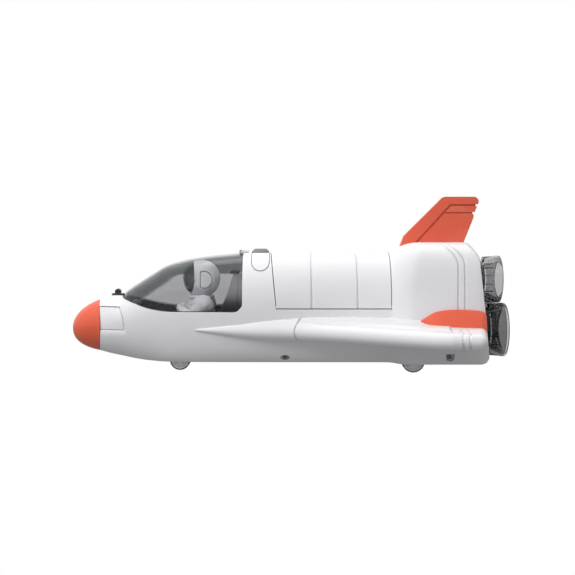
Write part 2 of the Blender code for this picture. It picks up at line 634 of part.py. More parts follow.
def make_fin(orange, body_form):
    outline = list(FIN_FRAME) + arc((297.5, 131.3), 5.0, 135, 90, 3) + arc((319.8, 132.4), 3.9, 90, -30, 5)
    outline += list(FIN_REAR)
    fin = side_prism("tail_fin", outline, -FIN_HALF_LOW, FIN_HALF_LOW, orange)
    for side in (-1, 1):
        ends = sorted((side * (FIN_HALF_LOW - 0.7), side * 8))
        cut(fin, side_prism("panel", FIN_PANEL, *ends))
    low, high = 95.0, FIN_TOP
    for v in fin.data.vertices:
        share = min(max((v.co.z / MM - low) / (high - low), 0), 1)
        v.co.y *= 1 + share * (FIN_HALF_HIGH / FIN_HALF_LOW - 1)
    cut(fin, body_form, keep_tool=True)


def rear_sweep():
    """Everything behind the body's rear edge, which runs forward at the shoulders and under the roof."""
    edge, low, high, beyond = REAR_FACE + 0.4, 8.0, 110.0, REAR_FACE + 24
    rings = []
    for across in (-60, -REAR_SHOULDER, 0, REAR_SHOULDER, 60):
        outline = [(edge, low - 13)]
        for height in (low, ROOF_BEND, 88.0, 91.5, 95.0, 98.5, 102.0, high):
            lean = REAR_LEAN * min(abs(across) / REAR_SHOULDER, 1) * (height - low)
            bend = max(height - ROOF_BEND, 0) ** 1.6 / ROOF_BEND_LENGTH
            outline.append((edge - lean - bend, height))
        rings.append([at(s, across, z) for s, z in outline + [(beyond, high), (beyond, low - 13)]])
    return loft("rear_sweep", rings)


def engine_recess():
    """The shallow recess in the rear face that holds the engine plate."""
    low, high = REAR_FACE - PLATE_RECESS, REAR_FACE + 5
    ring = [at(low, p.y / MM, p.z / MM) for p in section(REAR_FACE, -PLATE_RIM)]
    deep = [Vector((at(high, 0, 0).x, p.y, p.z)) for p in ring]
    return loft("engine_recess", [ring, deep])


def make_engines(smoke, dark):
    low = REAR_FACE - PLATE_RECESS + GAP
    outline = [at(low, p.y / MM, p.z / MM) for p in section(REAR_FACE, -PLATE_RIM - 1.5 * GAP)]
    back = [p + Vector((PLATE_THICKNESS * MM, 0, 0)) for p in outline]
    loft("engine_plate", [outline, back], dark)
    base = low + PLATE_THICKNESS + GAP
    depth = LENGTH - base
    nozzles = (("nozzle_top", NOZZLE_TOP, 1), ("nozzle_near", NOZZLE_SIDE, -1), ("nozzle_far", NOZZLE_SIDE, 1))
    for name, (across, height, rim), side in nozzles:
        centre = at(base, side * across, height)
        wall, flare = NOZZLE_WALL, NOZZLE_NECK
        neck = rim - 3.4
        profile = ((0, 0), (neck, 0), (neck, flare), (rim - 1.2, flare + 1.4), (rim, depth - 4.5),
                   (rim, depth - 0.8), (rim - 0.8, depth), (rim - wall, depth), (rim - wall, depth - 4.5),
                   (rim - wall - 1.2, flare + 2.4), (neck - wall, flare + 1.0), (neck - wall, wall), (0, wall))
        turned(name, profile, centre, "X", 28, smoke)
        core = ((0, 0), (6.0, 0), (6.0, flare - 3), (3.2, flare), (2.4, flare + 3.2), (0, flare + 3.8))
        turned(name.replace("nozzle", "thruster_core"), core, at(base + wall + GAP, side * across, height), "X",
               16, dark)


# Belly plate
PLATE_TOP = 10.0
PLATE_HALF_WIDTH = ((66, 13.2), (76, 17.2), (87.3, 21.7), (103, 23), (316, 24))
FRONT_BLOCK = dict(half=9.6, half_low=7.3, across=12.6, low=4.8, high=13.0)
REAR_BLOCK = dict(half=9.6, half_low=7.3, across=27.5, low=5.0, high=14.0)


def plate_outline(gap):
    stops = [s for s, _ in PLATE_HALF_WIDTH]
    ends = [stops[0] - gap] + stops[1:-1] + [stops[-1] + gap]
    right = [(end, value(PLATE_HALF_WIDTH, s) + gap) for end, s in zip(ends, stops)]
    return right + [(s, -y) for s, y in reversed(right)]


def axle_block(name, wheel, block, gap):
    """The thick part of the belly plate that carries one axle."""
    s = wheel["station"]
    half, low_half = block["half"] + gap, block["half_low"] + gap
    outline = [(s - low_half, block["low"] - gap), (s + low_half, block["low"] - gap), (s + half, BELLY),
               (s + half, block["high"] + gap), (s - half, block["high"] + gap), (s - half, BELLY)]
    return side_prism(name, outline, -block["across"] - 2 * gap, block["across"] + 2 * gap)


def belly_recess():
    recess = plan_prism("recess", plate_outline(GAP), -5, PLATE_TOP + GAP)
    join(recess, axle_block("front", FRONT_WHEEL, FRONT_BLOCK, GAP))
    join(recess, axle_block("rear", REAR_WHEEL, REAR_BLOCK, GAP))
    return recess


MOTOR = dict(stations=(282, 308), across=(-17, 17), heights=(12, 40))
BATTERY = dict(stations=(196, 238), across=(-18, 18))


def motor_pocket():
    (s0, s1), (y0, y1) = MOTOR["stations"], MOTOR["across"]
    return box("motor_pocket", (s0 - GAP, s1 + GAP), (y0 - GAP, y1 + GAP), (5, MOTOR["heights"][1] + GAP))


def make_belly(white, grey, black):
    plate = plan_prism("belly_plate", plate_outline(0.0), BELLY, PLATE_TOP, white)
    join(plate, axle_block("front", FRONT_WHEEL, FRONT_BLOCK, 0.0))
    join(plate, axle_block("rear", REAR_WHEEL, REAR_BLOCK, 0.0))
    for wheel in (FRONT_WHEEL, REAR_WHEEL):
        for side in (-1, 1):
            cut(plate, wheel_well("well", wheel, side))
        cut(plate, rod("axle_bore", AXLE_BORE, at(wheel["station"], 0, wheel["radius"]), "Y", -60, 60, 16))
    (s0, s1), (y0, y1) = BATTERY["stations"], BATTERY["across"]
    cut(plate, box("battery_room", (s0 - GAP, s1 + GAP), (y0 - GAP, y1 + GAP), (0, BELLY + 1.8 + GAP)))
    cover = box("battery_cover", (s0, s1), (y0, y1), (BELLY, BELLY + 1.8), white)
    cut(cover, rod("screw_hole", 2.2, at(s1 - 5, 0, 0), "Z", 0, BELLY + 0.9))
    cut(plate, box("switch_room", (174, 186), (-4.5, 4.5), (0, BELLY + 1.6)))
    box("power_switch", (174.3, 180.0), (-4.2, 4.2), (BELLY + 0.2, BELLY + 1.3), black)
    heights = (PLATE_TOP + GAP, MOTOR["heights"][1])
    box("friction_motor", MOTOR["stations"], MOTOR["across"], heights, grey)


def make_axle_set(wheel, label, steel, grey, rubber):
    centre = at(wheel["station"], 0, wheel["radius"])
    inner, outer = wheel["outer"] - wheel["width"], wheel["outer"]
    rod(label + "_axle", AXLE_RADIUS, centre, "Y", -outer + 1.6, outer - 1.6, 16, steel)
    for side, name in ((-1, "near"), (1, "far")):
        bore, hub, tyre = AXLE_RADIUS + 0.25, wheel["hub"], wheel["radius"]
        disc = ((0, outer - 0.2), (hub - 1.2, outer - 0.2), (hub, outer - 0.9), (hub, inner + 0.5),
                (bore, inner + 0.5), (bore, outer - 1.3), (0, outer - 1.3))
        tread = ((hub + GAP, inner), (tyre - 0.8, inner), (tyre, inner + 0.8), (tyre, outer - 0.8),
                 (tyre - 0.8, outer), (hub + GAP, outer))
        turned(f"{label}_wheel_{name}", [(r, side * d) for r, d in disc], centre, "Y", 24, grey)
        turned(f"{label}_tyre_{name}", [(r, side * d) for r, d in tread], centre, "Y", 28, rubber)


def hang(names, centre):
    """Puts the origins of some pieces on the axis that they turn about."""
    for name in names:
        piece = bpy.data.objects[name]
        piece.data.transform(Matrix.Translation(-centre))
        piece.location = centre


def place_axes():
    hang(("canopy",), at(CANOPY_HINGE[0], 0, CANOPY_HINGE[1]))
    for side, label in ((-1, "near"), (1, "far")):
        hang(("cargo_door_" + label,), at((DOOR_FRONT_LOW + DOOR_REAR) / 2, side * DOOR_AXIS[0], DOOR_AXIS[1]))
    for wheel, label in ((FRONT_WHEEL, "front"), (REAR_WHEEL, "rear")):
        rolling = [f"{label}_{kind}_{side}" for kind in ("wheel", "tyre") for side in ("near", "far")]
        hang(rolling + [label + "_axle"], at(wheel["station"], 0, wheel["radius"]))


def shade_round():
    """Shades the rounded stretches smooth and keeps the real edges sharp."""
    for piece in bpy.data.objects:
        piece.data.shade_smooth()
        piece.data.set_sharp_from_angle(angle=math.radians(SHARP_ANGLE))


def main():
    for old in list(bpy.data.objects):
        bpy.data.objects.remove(old)
    white = material("white gloss plastic", WHITE, 0.32)
    orange = material("orange plastic", ORANGE, 0.38)
    dark = material("charcoal plastic", (0.045, 0.047, 0.052), 0.5)
    black = material("black plastic", (0.02, 0.02, 0.022), 0.45)
    grey = material("grey plastic", (0.34, 0.34, 0.35), 0.45)
    smoke = material("smoked clear plastic", (0.16, 0.16, 0.17), 0.1, alpha=0.45)
    glass = material("canopy clear plastic", (0.42, 0.43, 0.44), 0.06, alpha=0.35)
    suit = material("suit white plastic", (0.80, 0.80, 0.82), 0.45)
    steel = material("steel", (0.6, 0.6, 0.6), 0.3, 1.0)
    rubber = material("tyre rubber", (0.03, 0.03, 0.03), 0.7)

    make_body(white)
    make_nose(orange)
    make_canopy(glass, steel)
    make_cockpit(dark, black)
    make_astronaut(suit, smoke)
    make_roof(white, grey)
    body_form = envelope("body_form", GAP * 1.2)
    for side, label in ((-1, "near"), (1, "far")):
        make_door(side, label, white)
        raised_wing = make_wing(side, label, white, body_form)
        make_fairing(side, label, orange, body_form, raised_wing)
    make_fin(orange, body_form)
    bpy.data.objects.remove(body_form)
    make_engines(smoke, dark)
    make_belly(white, grey, black)
    make_axle_set(FRONT_WHEEL, "front", steel, grey, rubber)
    make_axle_set(REAR_WHEEL, "rear", steel, grey, rubber)
    place_axes()
    shade_round()


main()
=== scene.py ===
"""The looks of a rolling toy space shuttle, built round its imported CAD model.

Distances along the toy are stations: millimetres back from the nose's tip. The near side is -Y.
"""

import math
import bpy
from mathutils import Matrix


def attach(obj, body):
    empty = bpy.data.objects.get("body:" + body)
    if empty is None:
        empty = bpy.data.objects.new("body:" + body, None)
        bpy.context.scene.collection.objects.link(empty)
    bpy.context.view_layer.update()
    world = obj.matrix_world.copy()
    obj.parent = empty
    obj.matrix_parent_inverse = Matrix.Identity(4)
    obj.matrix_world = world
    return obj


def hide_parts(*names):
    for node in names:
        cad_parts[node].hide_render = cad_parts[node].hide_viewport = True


bl_info = {
    "name": "Toy Shuttle Looks",
    "version": (1, 0, 0),
    "blender": (4, 5, 0),
    "location": "3D View > Sidebar > Toy Shuttle",
    "description": "Builds the moulded shells, clear plastic, figure and studio of a toy space shuttle",
    "category": "Object",
}

import bmesh
import bpy
from bpy.props import FloatProperty, FloatVectorProperty, IntProperty, PointerProperty
from mathutils import Matrix, Vector

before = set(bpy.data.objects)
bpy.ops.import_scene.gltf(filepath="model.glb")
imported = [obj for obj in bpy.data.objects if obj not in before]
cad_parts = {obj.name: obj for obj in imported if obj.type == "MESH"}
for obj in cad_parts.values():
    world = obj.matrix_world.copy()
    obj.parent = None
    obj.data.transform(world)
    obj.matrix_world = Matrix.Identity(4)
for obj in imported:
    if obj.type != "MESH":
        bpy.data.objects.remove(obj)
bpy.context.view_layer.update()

MM = 0.001
LENGTH = 341.0
HALF_SPAN = 111.5
BELLY = 7.0
REAR_FACE = 326.0
NOSE_JOINT = 22.3
NOSE_BOW = 2.6
SEAM = 0.3  # open joint between two mouldings
SIDES = ((-1, "near"), (1, "far"))


class Curve:
    """A smooth curve through (station, value) rows, which never swings past them."""

    def __init__(self, *rows):
        self.rows = rows
        runs = [(b[1] - a[1]) / (b[0] - a[0]) for a, b in zip(rows, rows[1:])]
        inner = [2 * p * q / (p + q) if p * q > 0 else 0.0 for p, q in zip(runs, runs[1:])]
        self.slopes = [runs[0]] + inner + [runs[-1]]

    def __call__(self, at):
        rows = self.rows
        if at <= rows[0][0]:
            return rows[0][1]
        for i, ((x0, y0), (x1, y1)) in enumerate(zip(rows, rows[1:])):
            if at <= x1:
                span = x1 - x0
                t = (at - x0) / span
                a, b = self.slopes[i] * span, self.slopes[i + 1] * span
                return (y0 * (1 + 2 * t) + a * t) * (1 - t) ** 2 + (y1 * (3 - 2 * t) - b * (1 - t)) * t * t
        return rows[-1][1]


# The hull's form
HALF_WIDTH = Curve((22.3, 20.3), (31, 24.2), (41, 27.4), (54, 30.6), (66, 32.8), (82, 35), (103, 37),
                   (122, 38.6), (140, 39.7), (156, 40), (251, 40), (256, 42.2), (262, 44.8), (268, 46),
                   (316, 46), (322, 45.2), (326, 43.6))
TOP = Curve((22.3, 54.7), (26.5, 56.8), (31, 58.0), (36, 58.2), (41, 57.9), (43.2, 61.0), (45.7, 63.0),
            (55.3, 69.3), (64.9, 75.4), (70, 78.6), (74.5, 81.2), (79.3, 83.0), (84.1, 84.4), (93.7, 86.7),
            (103.3, 88.2), (112.9, 89.5), (122.5, 90.4), (132.5, 91.4), (140, 92.6), (146, 92.9),
            (251, 92.9), (256, 94.2), (262, 97.3), (268, 99.2), (275, 100.1), (310, 100.1), (317, 98.6),
            (322, 95), (326, 89.5))
WIDEST_AT = Curve((22.3, 34.5), (41, 38), (66, 43), (90, 47), (120, 48), (326, 48))
BOTTOM = Curve((22.3, 14.2), (32, 12), (42.5, 10.2), (52, 8.6), (62, 7.5), (75, 7), (319.5, 7), (324, 8.4),
               (326, 11.8))
FLAT_HALF = Curve((22.3, 4), (41, 9), (62, 16), (87, 24), (120, 25.5), (250, 26.8), (254, 31), (258, 38),
                  (262, 41.6), (326, 41.4))
ROUNDNESS = Curve((22.3, 2.0), (60, 2.2), (100, 2.4), (136, 2.3), (251, 2.3), (262, 3.4), (272, 4.6),
                  (326, 4.6))
PLATE_FRONT = REAR_FACE - 10.2  # front face of the engine plate
RING_FLAT, RING_LOW, RING_HIGH = 4, 12, 30  # points of half a hull ring: belly, bilge and above
HULL_STEP = 2.0
REAR_LEAN, REAR_SHOULDER = 0.113, 44.0  # the rear edge runs forward with height, fully from the shoulder out
# Grooves round the hull: station, width and depth
RING_GROOVES = ((301.3, 1.9, 1.5), (306.3, 1.9, 1.5))
DOOR_GROOVES = ((190.3, 2.4, 1.7), (225.6, 2.4, 1.7))
ROOF_BEND, ROOF_BEND_LENGTH = 84.5, 7.0  # height from which the rear edge and the grooves bend forward

# Canopy, cockpit and doors
CANOPY_FRONT, CANOPY_REAR = 41.0, 137.0
RIM_HEIGHT, RIM_CORNER = 46.7, 7.0
RIM = Curve((41.0, 57.0), (47, 54.8), (53.9, 52.4), (60, 50.2), (66.1, 48.7), (74, 47.3), (82.2, 46.7))
CANOPY_HINGE = (134.8, 93.0)
TUB_INSET, TUB_FRONT, TUB_REAR, TUB_FLOOR, TUB_WALL = 3.4, 50.0, 133.6, 24.0, 1.5
DOOR_EDGE, DOOR_LEDGE = 49.9, 49.2
DOOR_FRONT_LOW, DOOR_FRONT_TOP, DOOR_REAR = 163.1, 158.7, 251.2
DOOR_AXIS = (38.95, 50.9)
BAY_FRONT, BAY_REAR, BAY_FLOOR, BAY_HALF = 167.5, 247.0, 30.0, 34.0

# Wings
WING_INNER, WING_EDGE, WING_FILLET_END = 20.0, 6.0, 54.0
WING_LEADING = Curve((101, 36.8), (125, 40.4), (150, 43.8), (179, 48.4), (196, 54.5), (210, 62.5),
                     (224.7, 72.5), (240, 83.5), (255, 94), (268, 102.5), (278, 108.2), (287, 111.2))
WING_TOP_ROOT = Curve((101, 33.6), (137, 38.6), (168, 41.4), (190, 42.6), (229, 43.0), (250, 42.8),
                      (262, 43.1), (272, 42.8), (284, 40.5), (325, 35.8))
WING_TOP_OUTER = Curve((101, 33.3), (125, 35.5), (150, 37.0), (179, 38.0), (262, 37.4), (325, 35.8))
WING_LOW = Curve((101, 32.4), (127.8, 27.9), (139.5, 26.4), (160, 25.6), (322, 25.6))
WING_TIP_REAR, TIP_ROUND = 307.5, 6.0
WING_TRAILING = ((325.7, 33.0), (325.9, WING_INNER))
WING_COLUMNS, WING_ROWS = 300, 60
PANEL_STEPS = ((6.5, 0.4), (10.0, 0.8))  # inset from the leading edge and rise of the wing's upper panel
EDGE_GROOVES = (((300.4, 55.2), (294.4, 114)), ((305.6, 55.2), (299.2, 114)), ((293.5, 54.9), (288.2, 100)),
                ((183.4, 37.2), (175.2, 51.5)))

FRONT_WHEEL = dict(label="front", station=87.3, radius=8.0, outer=20.0, width=6.0, hub=6.1)
REAR_WHEEL = dict(label="rear", station=268.7, radius=9.0, outer=35.4, width=6.5, hub=6.9)
HEAD = (103.0, 71.3)
HEAD_RADIUS, VISOR_RADIUS, FACE_PLANE = 15.0, 14.8, 97.3


def at(station, across, height):
    """A point of the frame, in metres."""
    return Vector(((station - LENGTH / 2) * MM, across * MM, height * MM))


def smooth_step(low, high, x):
    t = min(max((x - low) / (high - low), 0.0), 1.0)
    return t * t * (3 - 2 * t)


# Settings


class ShuttleSizes(bpy.types.PropertyGroup):
    """Sizes of the fine details"""

    groove_width: FloatProperty(name="Groove Width", description="Width of a moulded panel groove",
                                default=1.8 * MM, min=0.0, unit="LENGTH")
    groove_depth: FloatProperty(name="Groove Depth", description="Depth of a moulded panel groove",
                                default=1.2 * MM, min=0.0, unit="LENGTH")
    canopy_wall: FloatProperty(name="Canopy Wall", description="Thickness of the clear canopy",
                               default=1.2 * MM, min=0.0, unit="LENGTH")
    door_wall: FloatProperty(name="Door Wall", description="Thickness of a cargo door",
                             default=2.0 * MM, min=0.0, unit="LENGTH")
    edge_round: FloatProperty(name="Edge Round", description="Radius that softens the moulded edges",
                              default=0.35 * MM, min=0.0, unit="LENGTH")
    tread_blocks: IntProperty(name="Tread Grooves", description="Grooves across each tyre", default=32, min=6)


class ShuttleColours(bpy.types.PropertyGroup):
    """Colours of the mouldings"""

    white: FloatVectorProperty(name="White", description="Hull, wings and doors", subtype="COLOR",
                               default=(0.80, 0.80, 0.82), min=0.0, max=1.0)
    orange: FloatVectorProperty(name="Orange", description="Nose, fin and wing fairings", subtype="COLOR",
                                default=(0.78, 0.115, 0.055), min=0.0, max=1.0)
    charcoal: FloatVectorProperty(name="Charcoal", description="Cockpit and engine plate", subtype="COLOR",
                                  default=(0.04, 0.042, 0.047), min=0.0, max=1.0)
    grey: FloatVectorProperty(name="Grey", description="Button and small fittings", subtype="COLOR",
                              default=(0.22, 0.22, 0.225), min=0.0, max=1.0)
    wheel: FloatVectorProperty(name="Wheel", description="Wheel discs", subtype="COLOR",
                               default=(0.86, 0.86, 0.87), min=0.0, max=1.0)
    suit: FloatVectorProperty(name="Suit", description="The figure's suit and helmet", subtype="COLOR",
                              default=(0.76, 0.76, 0.79), min=0.0, max=1.0)
    helmet: FloatVectorProperty(name="Helmet", description="The figure's helmet", subtype="COLOR",
                                default=(0.94, 0.94, 0.96), min=0.0, max=1.0)
    canopy: FloatVectorProperty(name="Canopy Tint", description="Clear canopy", subtype="COLOR",
                                default=(0.57, 0.57, 0.58), min=0.0, max=1.0)
    # Painted shade: a dark tint on the inner face of the canopy's roof and screen, for the shaded roof seen through
    # the clear wall.
    painted_shade_lining: FloatVectorProperty(name="Canopy Painted Shade Lining", description="Painted shade on the inner face of the canopy's roof and screen",
                                subtype="COLOR", default=(0.062, 0.073, 0.074), min=0.0, max=1.0)
    # Painted shade: a near-black band on the canopy's inner face along the rim, for the shade low in the cockpit.
    painted_shade_hem: FloatVectorProperty(name="Canopy Painted Shade Hem", description="Painted shade band inside the canopy's lower edge",
                             subtype="COLOR", default=(0.008, 0.008, 0.009), min=0.0, max=1.0)
    smoke: FloatVectorProperty(name="Smoke", description="Nozzles", subtype="COLOR",
                               default=(0.44, 0.44, 0.45), min=0.0, max=1.0)
    # Painted shade: the lower nozzles get a darker tint of the same smoked plastic, for the shade they sit in.
    smoke_painted_shade: FloatVectorProperty(name="Smoke With Painted Shade", description="The two lower nozzles, darkened as painted shade", subtype="COLOR",
                                    default=(0.14, 0.14, 0.145), min=0.0, max=1.0)


class ShuttleStudio(bpy.types.PropertyGroup):
    """Camera and light"""

    elevation: FloatProperty(name="Elevation", description="Height of the camera's line of sight",
                             default=math.radians(3.0), subtype="ANGLE")
    distance: FloatProperty(name="Distance", description="From the camera to the toy", default=0.85,
                            unit="LENGTH")
    lens: FloatProperty(name="Lens", description="Focal length in millimetres", default=66.49)
    sky: FloatProperty(name="Sky", description="Brightness of the white surroundings", default=0.42)
    key: FloatProperty(name="Key Light", description="Power of the front softbox", default=15.4)
    back: FloatProperty(name="Top Light", description="Power of the softbox overhead", default=6.4)


SETTINGS = (("shuttle_sizes", ShuttleSizes), ("shuttle_colours", ShuttleColours),
            ("shuttle_studio", ShuttleStudio))


def sizes():
    return bpy.context.scene.shuttle_sizes


def colours():
    return bpy.context.scene.shuttle_colours


# Shader node groups


class Graph:
    """Adds nodes to a tree and joins them: an input is a number, a colour or another node's socket."""

    def __init__(self, tree):
        self.tree = tree

    def node(self, kind, settings=None, **inputs):
        made = self.tree.nodes.new(kind)
        for key, value in (settings or {}).items():
            setattr(made, key, value)
        for key, value in inputs.items():
            socket = made.inputs[int(key[1:])] if key[0] == "i" and key[1:].isdigit() else made.inputs[
                key.replace("_", " ")]
            if isinstance(value, bpy.types.NodeSocket):
                self.tree.links.new(value, socket)
            else:
                socket.default_value = value
        return made

    def math(self, operation, first, second=0.0, clamp=False):
        settings = {"operation": operation, "use_clamp": clamp}
        return self.node("ShaderNodeMath", settings, i0=first, i1=second).outputs[0]

    def noise(self, vector, scale, detail=2.0, roughness=0.5):
        return self.node("ShaderNodeTexNoise", Vector=vector, Scale=scale, Detail=detail,
                         Roughness=roughness).outputs["Fac"]

    def ramp(self, value, low, high):
        """0 below low, 1 above high and a smooth climb between."""
        return self.node("ShaderNodeMapRange", {"interpolation_type": "SMOOTHSTEP"}, Value=value, From_Min=low,
                         From_Max=high).outputs["Result"]

    def mix(self, share, first, second, blend="MIX"):
        made = self.node("ShaderNodeMix", {"data_type": "RGBA", "blend_type": blend})
        for socket, value in ((made.inputs[0], share), (made.inputs[6], first), (made.inputs[7], second)):
            if isinstance(value, bpy.types.NodeSocket):
                self.tree.links.new(value, socket)
            else:
                socket.default_value = value
        return made.outputs[2]

    def object_space(self):
        return self.node("ShaderNodeTexCoord").outputs["Object"]


def new_group(name, inputs, outputs):
    """An empty shader group with its sockets: returns its graph and the two ends."""
    tree = bpy.data.node_groups.new(name, "ShaderNodeTree")
    kinds = {"value": "NodeSocketFloat", "colour": "NodeSocketColor", "vector": "NodeSocketVector"}
    for socket, kind, default in inputs:
        tree.interface.new_socket(socket, in_out="INPUT", socket_type=kinds[kind]).default_value = default
    for socket, kind in outputs:
        tree.interface.new_socket(socket, in_out="OUTPUT", socket_type=kinds[kind])
    graph = Graph(tree)
    return graph, graph.node("NodeGroupInput").outputs, graph.node("NodeGroupOutput").inputs


def make_grain_group():
    """Spark-eroded grain and the slow ripple of a moulded wall, as one height."""
    graph, given, result = new_group(
        "Moulded Height", (("Grain Scale", "value", 2600.0), ("Grain", "value", 0.25), ("Ripple", "value", 0.6)),
        (("Height", "value"),))
    space = graph.object_space()
    grain = graph.math("MULTIPLY", graph.noise(space, given["Grain Scale"], 3.0), given["Grain"])
    ripple = graph.math("MULTIPLY", graph.noise(space, 55.0, 1.0), given["Ripple"])
    graph.tree.links.new(graph.math("ADD", grain, ripple), result["Height"])
    return graph.tree


def make_tone_group():
    """A colour that drifts a little over the part, with fine flow lines as in moulded plastic."""
    graph, given, result = new_group(
        "Moulded Tone", (("Colour", "colour", (0.8, 0.8, 0.8, 1)), ("Drift", "value", 0.04),
                         ("Specks", "value", 0.02)), (("Colour", "colour"), ("Mask", "value")))
    space = graph.object_space()
    slow = graph.noise(space, 26.0, 3.0)
    stretched = graph.node("ShaderNodeMapping", Vector=space, Scale=(0.25, 1.0, 1.6)).outputs[0]
    flow = graph.noise(stretched, 240.0, 2.0)
    cloud = graph.math("ADD", graph.math("MULTIPLY", slow, 0.7), graph.math("MULTIPLY", flow, 0.3))
    speck = graph.ramp(graph.noise(space, 1500.0, 2.0), 0.66, 0.74)
    lower = graph.math("SUBTRACT", 1.0, given["Drift"])
    gain = graph.node("ShaderNodeMapRange", Value=cloud, From_Min=0.3, From_Max=0.7, To_Min=lower,
                      To_Max=1.0).outputs["Result"]
    gain = graph.math("SUBTRACT", gain, graph.math("MULTIPLY", speck, given["Specks"]))
    shade = graph.node("ShaderNodeCombineColor", i0=gain, i1=gain, i2=gain).outputs[0]
    graph.tree.links.new(graph.mix(1.0, given["Colour"], shade, "MULTIPLY"), result["Colour"])
    graph.tree.links.new(cloud, result["Mask"])
    return graph.tree


def make_wear_group():
    """Roughness with handling smears and hair scratches, and a mask of the rubbed corners."""
    graph, given, result = new_group(
        "Handled Surface", (("Roughness", "value", 0.3), ("Smears", "value", 0.08), ("Scratches", "value", 0.1)),
        (("Roughness", "value"), ("Scratches", "value"), ("Corners", "value")))
    space = graph.object_space()
    smear = graph.noise(space, 70.0, 4.0, 0.6)
    turned = graph.node("ShaderNodeMapping", Vector=space, Rotation=(0.5, 0.4, 0.9),
                        Scale=(1.0, 14.0, 14.0)).outputs[0]
    hair = graph.ramp(graph.noise(turned, 160.0, 1.0), 0.69, 0.72)
    scratch = graph.math("MULTIPLY", hair, given["Scratches"])
    raised = graph.math("MULTIPLY", graph.math("SUBTRACT", smear, 0.5), given["Smears"])
    rough = graph.math("ADD", graph.math("ADD", given["Roughness"], raised), graph.math("MULTIPLY", scratch, 0.5))
    pointy = graph.node("ShaderNodeNewGeometry").outputs["Pointiness"]
    corner = graph.math("MULTIPLY", graph.ramp(pointy, 0.52, 0.62), graph.ramp(smear, 0.4, 0.6))
    graph.tree.links.new(rough, result["Roughness"])
    graph.tree.links.new(scratch, result["Scratches"])
    graph.tree.links.new(corner, result["Corners"])
    return graph.tree


def make_dust_group():
    """A trace of dust on faces that look up, in soft patches."""
    graph, given, result = new_group(
        "Settled Dust", (("Colour", "colour", (0.8, 0.8, 0.8, 1)), ("Amount", "value", 0.05)),
        (("Colour", "colour"), ("Mask", "value")))
    normal = graph.node("ShaderNodeNewGeometry").outputs["Normal"]
    upward = graph.ramp(graph.node("ShaderNodeSeparateXYZ", Vector=normal).outputs[2], 0.3, 1.0)
    patch = graph.ramp(graph.noise(graph.object_space(), 420.0, 5.0, 0.7), 0.45, 0.75)
    mask = graph.math("MULTIPLY", graph.math("MULTIPLY", upward, patch), given["Amount"])
    graph.tree.links.new(graph.mix(mask, given["Colour"], (0.55, 0.53, 0.5, 1)), result["Colour"])
    graph.tree.links.new(mask, result["Mask"])
    return graph.tree


GROUPS = {"height": make_grain_group, "tone": make_tone_group, "wear": make_wear_group, "dust": make_dust_group}
built_groups = {}
built_materials = {}


def placed(graph, key, **inputs):
    """Puts one of the shared groups in a material, with this material's own values."""
    if key not in built_groups:
        built_groups[key] = GROUPS[key]()
    made = graph.node("ShaderNodeGroup", {"node_tree": built_groups[key]})
    for name, value in inputs.items():
        socket = made.inputs[name.replace("_", " ")]
        if isinstance(value, bpy.types.NodeSocket):
            graph.tree.links.new(value, socket)
        else:
            socket.default_value = value
    return made.outputs


# Materials


def seen_directly(graph):
    """1 for a ray from the eye, also after it has gone through clear plastic."""
    path = graph.node("ShaderNodeLightPath").outputs
    return graph.math("MAXIMUM", path["Is Camera Ray"], path["Is Transmission Ray"])


def start_material(name):
    made = bpy.data.materials.new(name)
    made.use_nodes = True
    made.node_tree.nodes.clear()
    graph = Graph(made.node_tree)
    shader = graph.node("ShaderNodeBsdfPrincipled")
    output = graph.node("ShaderNodeOutputMaterial")
    graph.tree.links.new(shader.outputs[0], output.inputs["Surface"])
    return made, graph, shader, output


def moulding(name, colour, roughness, drift=0.04, specks=0.02, grain=0.2, grain_scale=2600.0, ripple=0.6,
             bump=0.00004, smears=0.08, scratches=0.12, dust=0.04, coat=0.0, corner=None, metallic=0.0,
             specular=0.5, soften=True, foot=None):
    """An opaque moulded or turned surface; foot gives two heights and the dark colour of painted shade that it
    fades to below.
    """
    made, graph, shader, _ = start_material(name)
    tone = placed(graph, "tone", Colour=(*colour, 1), Drift=drift, Specks=specks)
    wear = placed(graph, "wear", Roughness=roughness, Smears=smears, Scratches=scratches)
    shown = tone["Colour"]
    # Painted shade: below the given heights the colour fades to a dark one.
    if foot is not None:
        height = graph.node("ShaderNodeSeparateXYZ", Vector=graph.object_space()).outputs[2]
        shown = graph.mix(graph.ramp(height, foot[0] * MM, foot[1] * MM), (*foot[2], 1), shown)
    if corner is not None:
        shown = graph.mix(graph.math("MULTIPLY", wear["Corners"], 0.35), shown, (*corner, 1))
    dusty = placed(graph, "dust", Colour=shown, Amount=dust)
    height = placed(graph, "height", Grain_Scale=grain_scale, Grain=grain, Ripple=ripple)["Height"]
    links = graph.tree.links
    bumped = graph.node("ShaderNodeBump", Strength=1.0, Distance=bump, Height=height)
    if soften:
        edge = graph.node("ShaderNodeBevel", {"samples": 6}, Radius=sizes().edge_round)
        links.new(edge.outputs[0], bumped.inputs["Normal"])
    links.new(dusty["Colour"], shader.inputs["Base Color"])
    links.new(wear["Roughness"], shader.inputs["Roughness"])
    links.new(bumped.outputs[0], shader.inputs["Normal"])
    shader.inputs["Metallic"].default_value = metallic
    shader.inputs["Coat Weight"].default_value = coat
    shader.inputs["Coat Roughness"].default_value = 0.12
    shader.inputs["Specular IOR Level"].default_value = specular
    return made


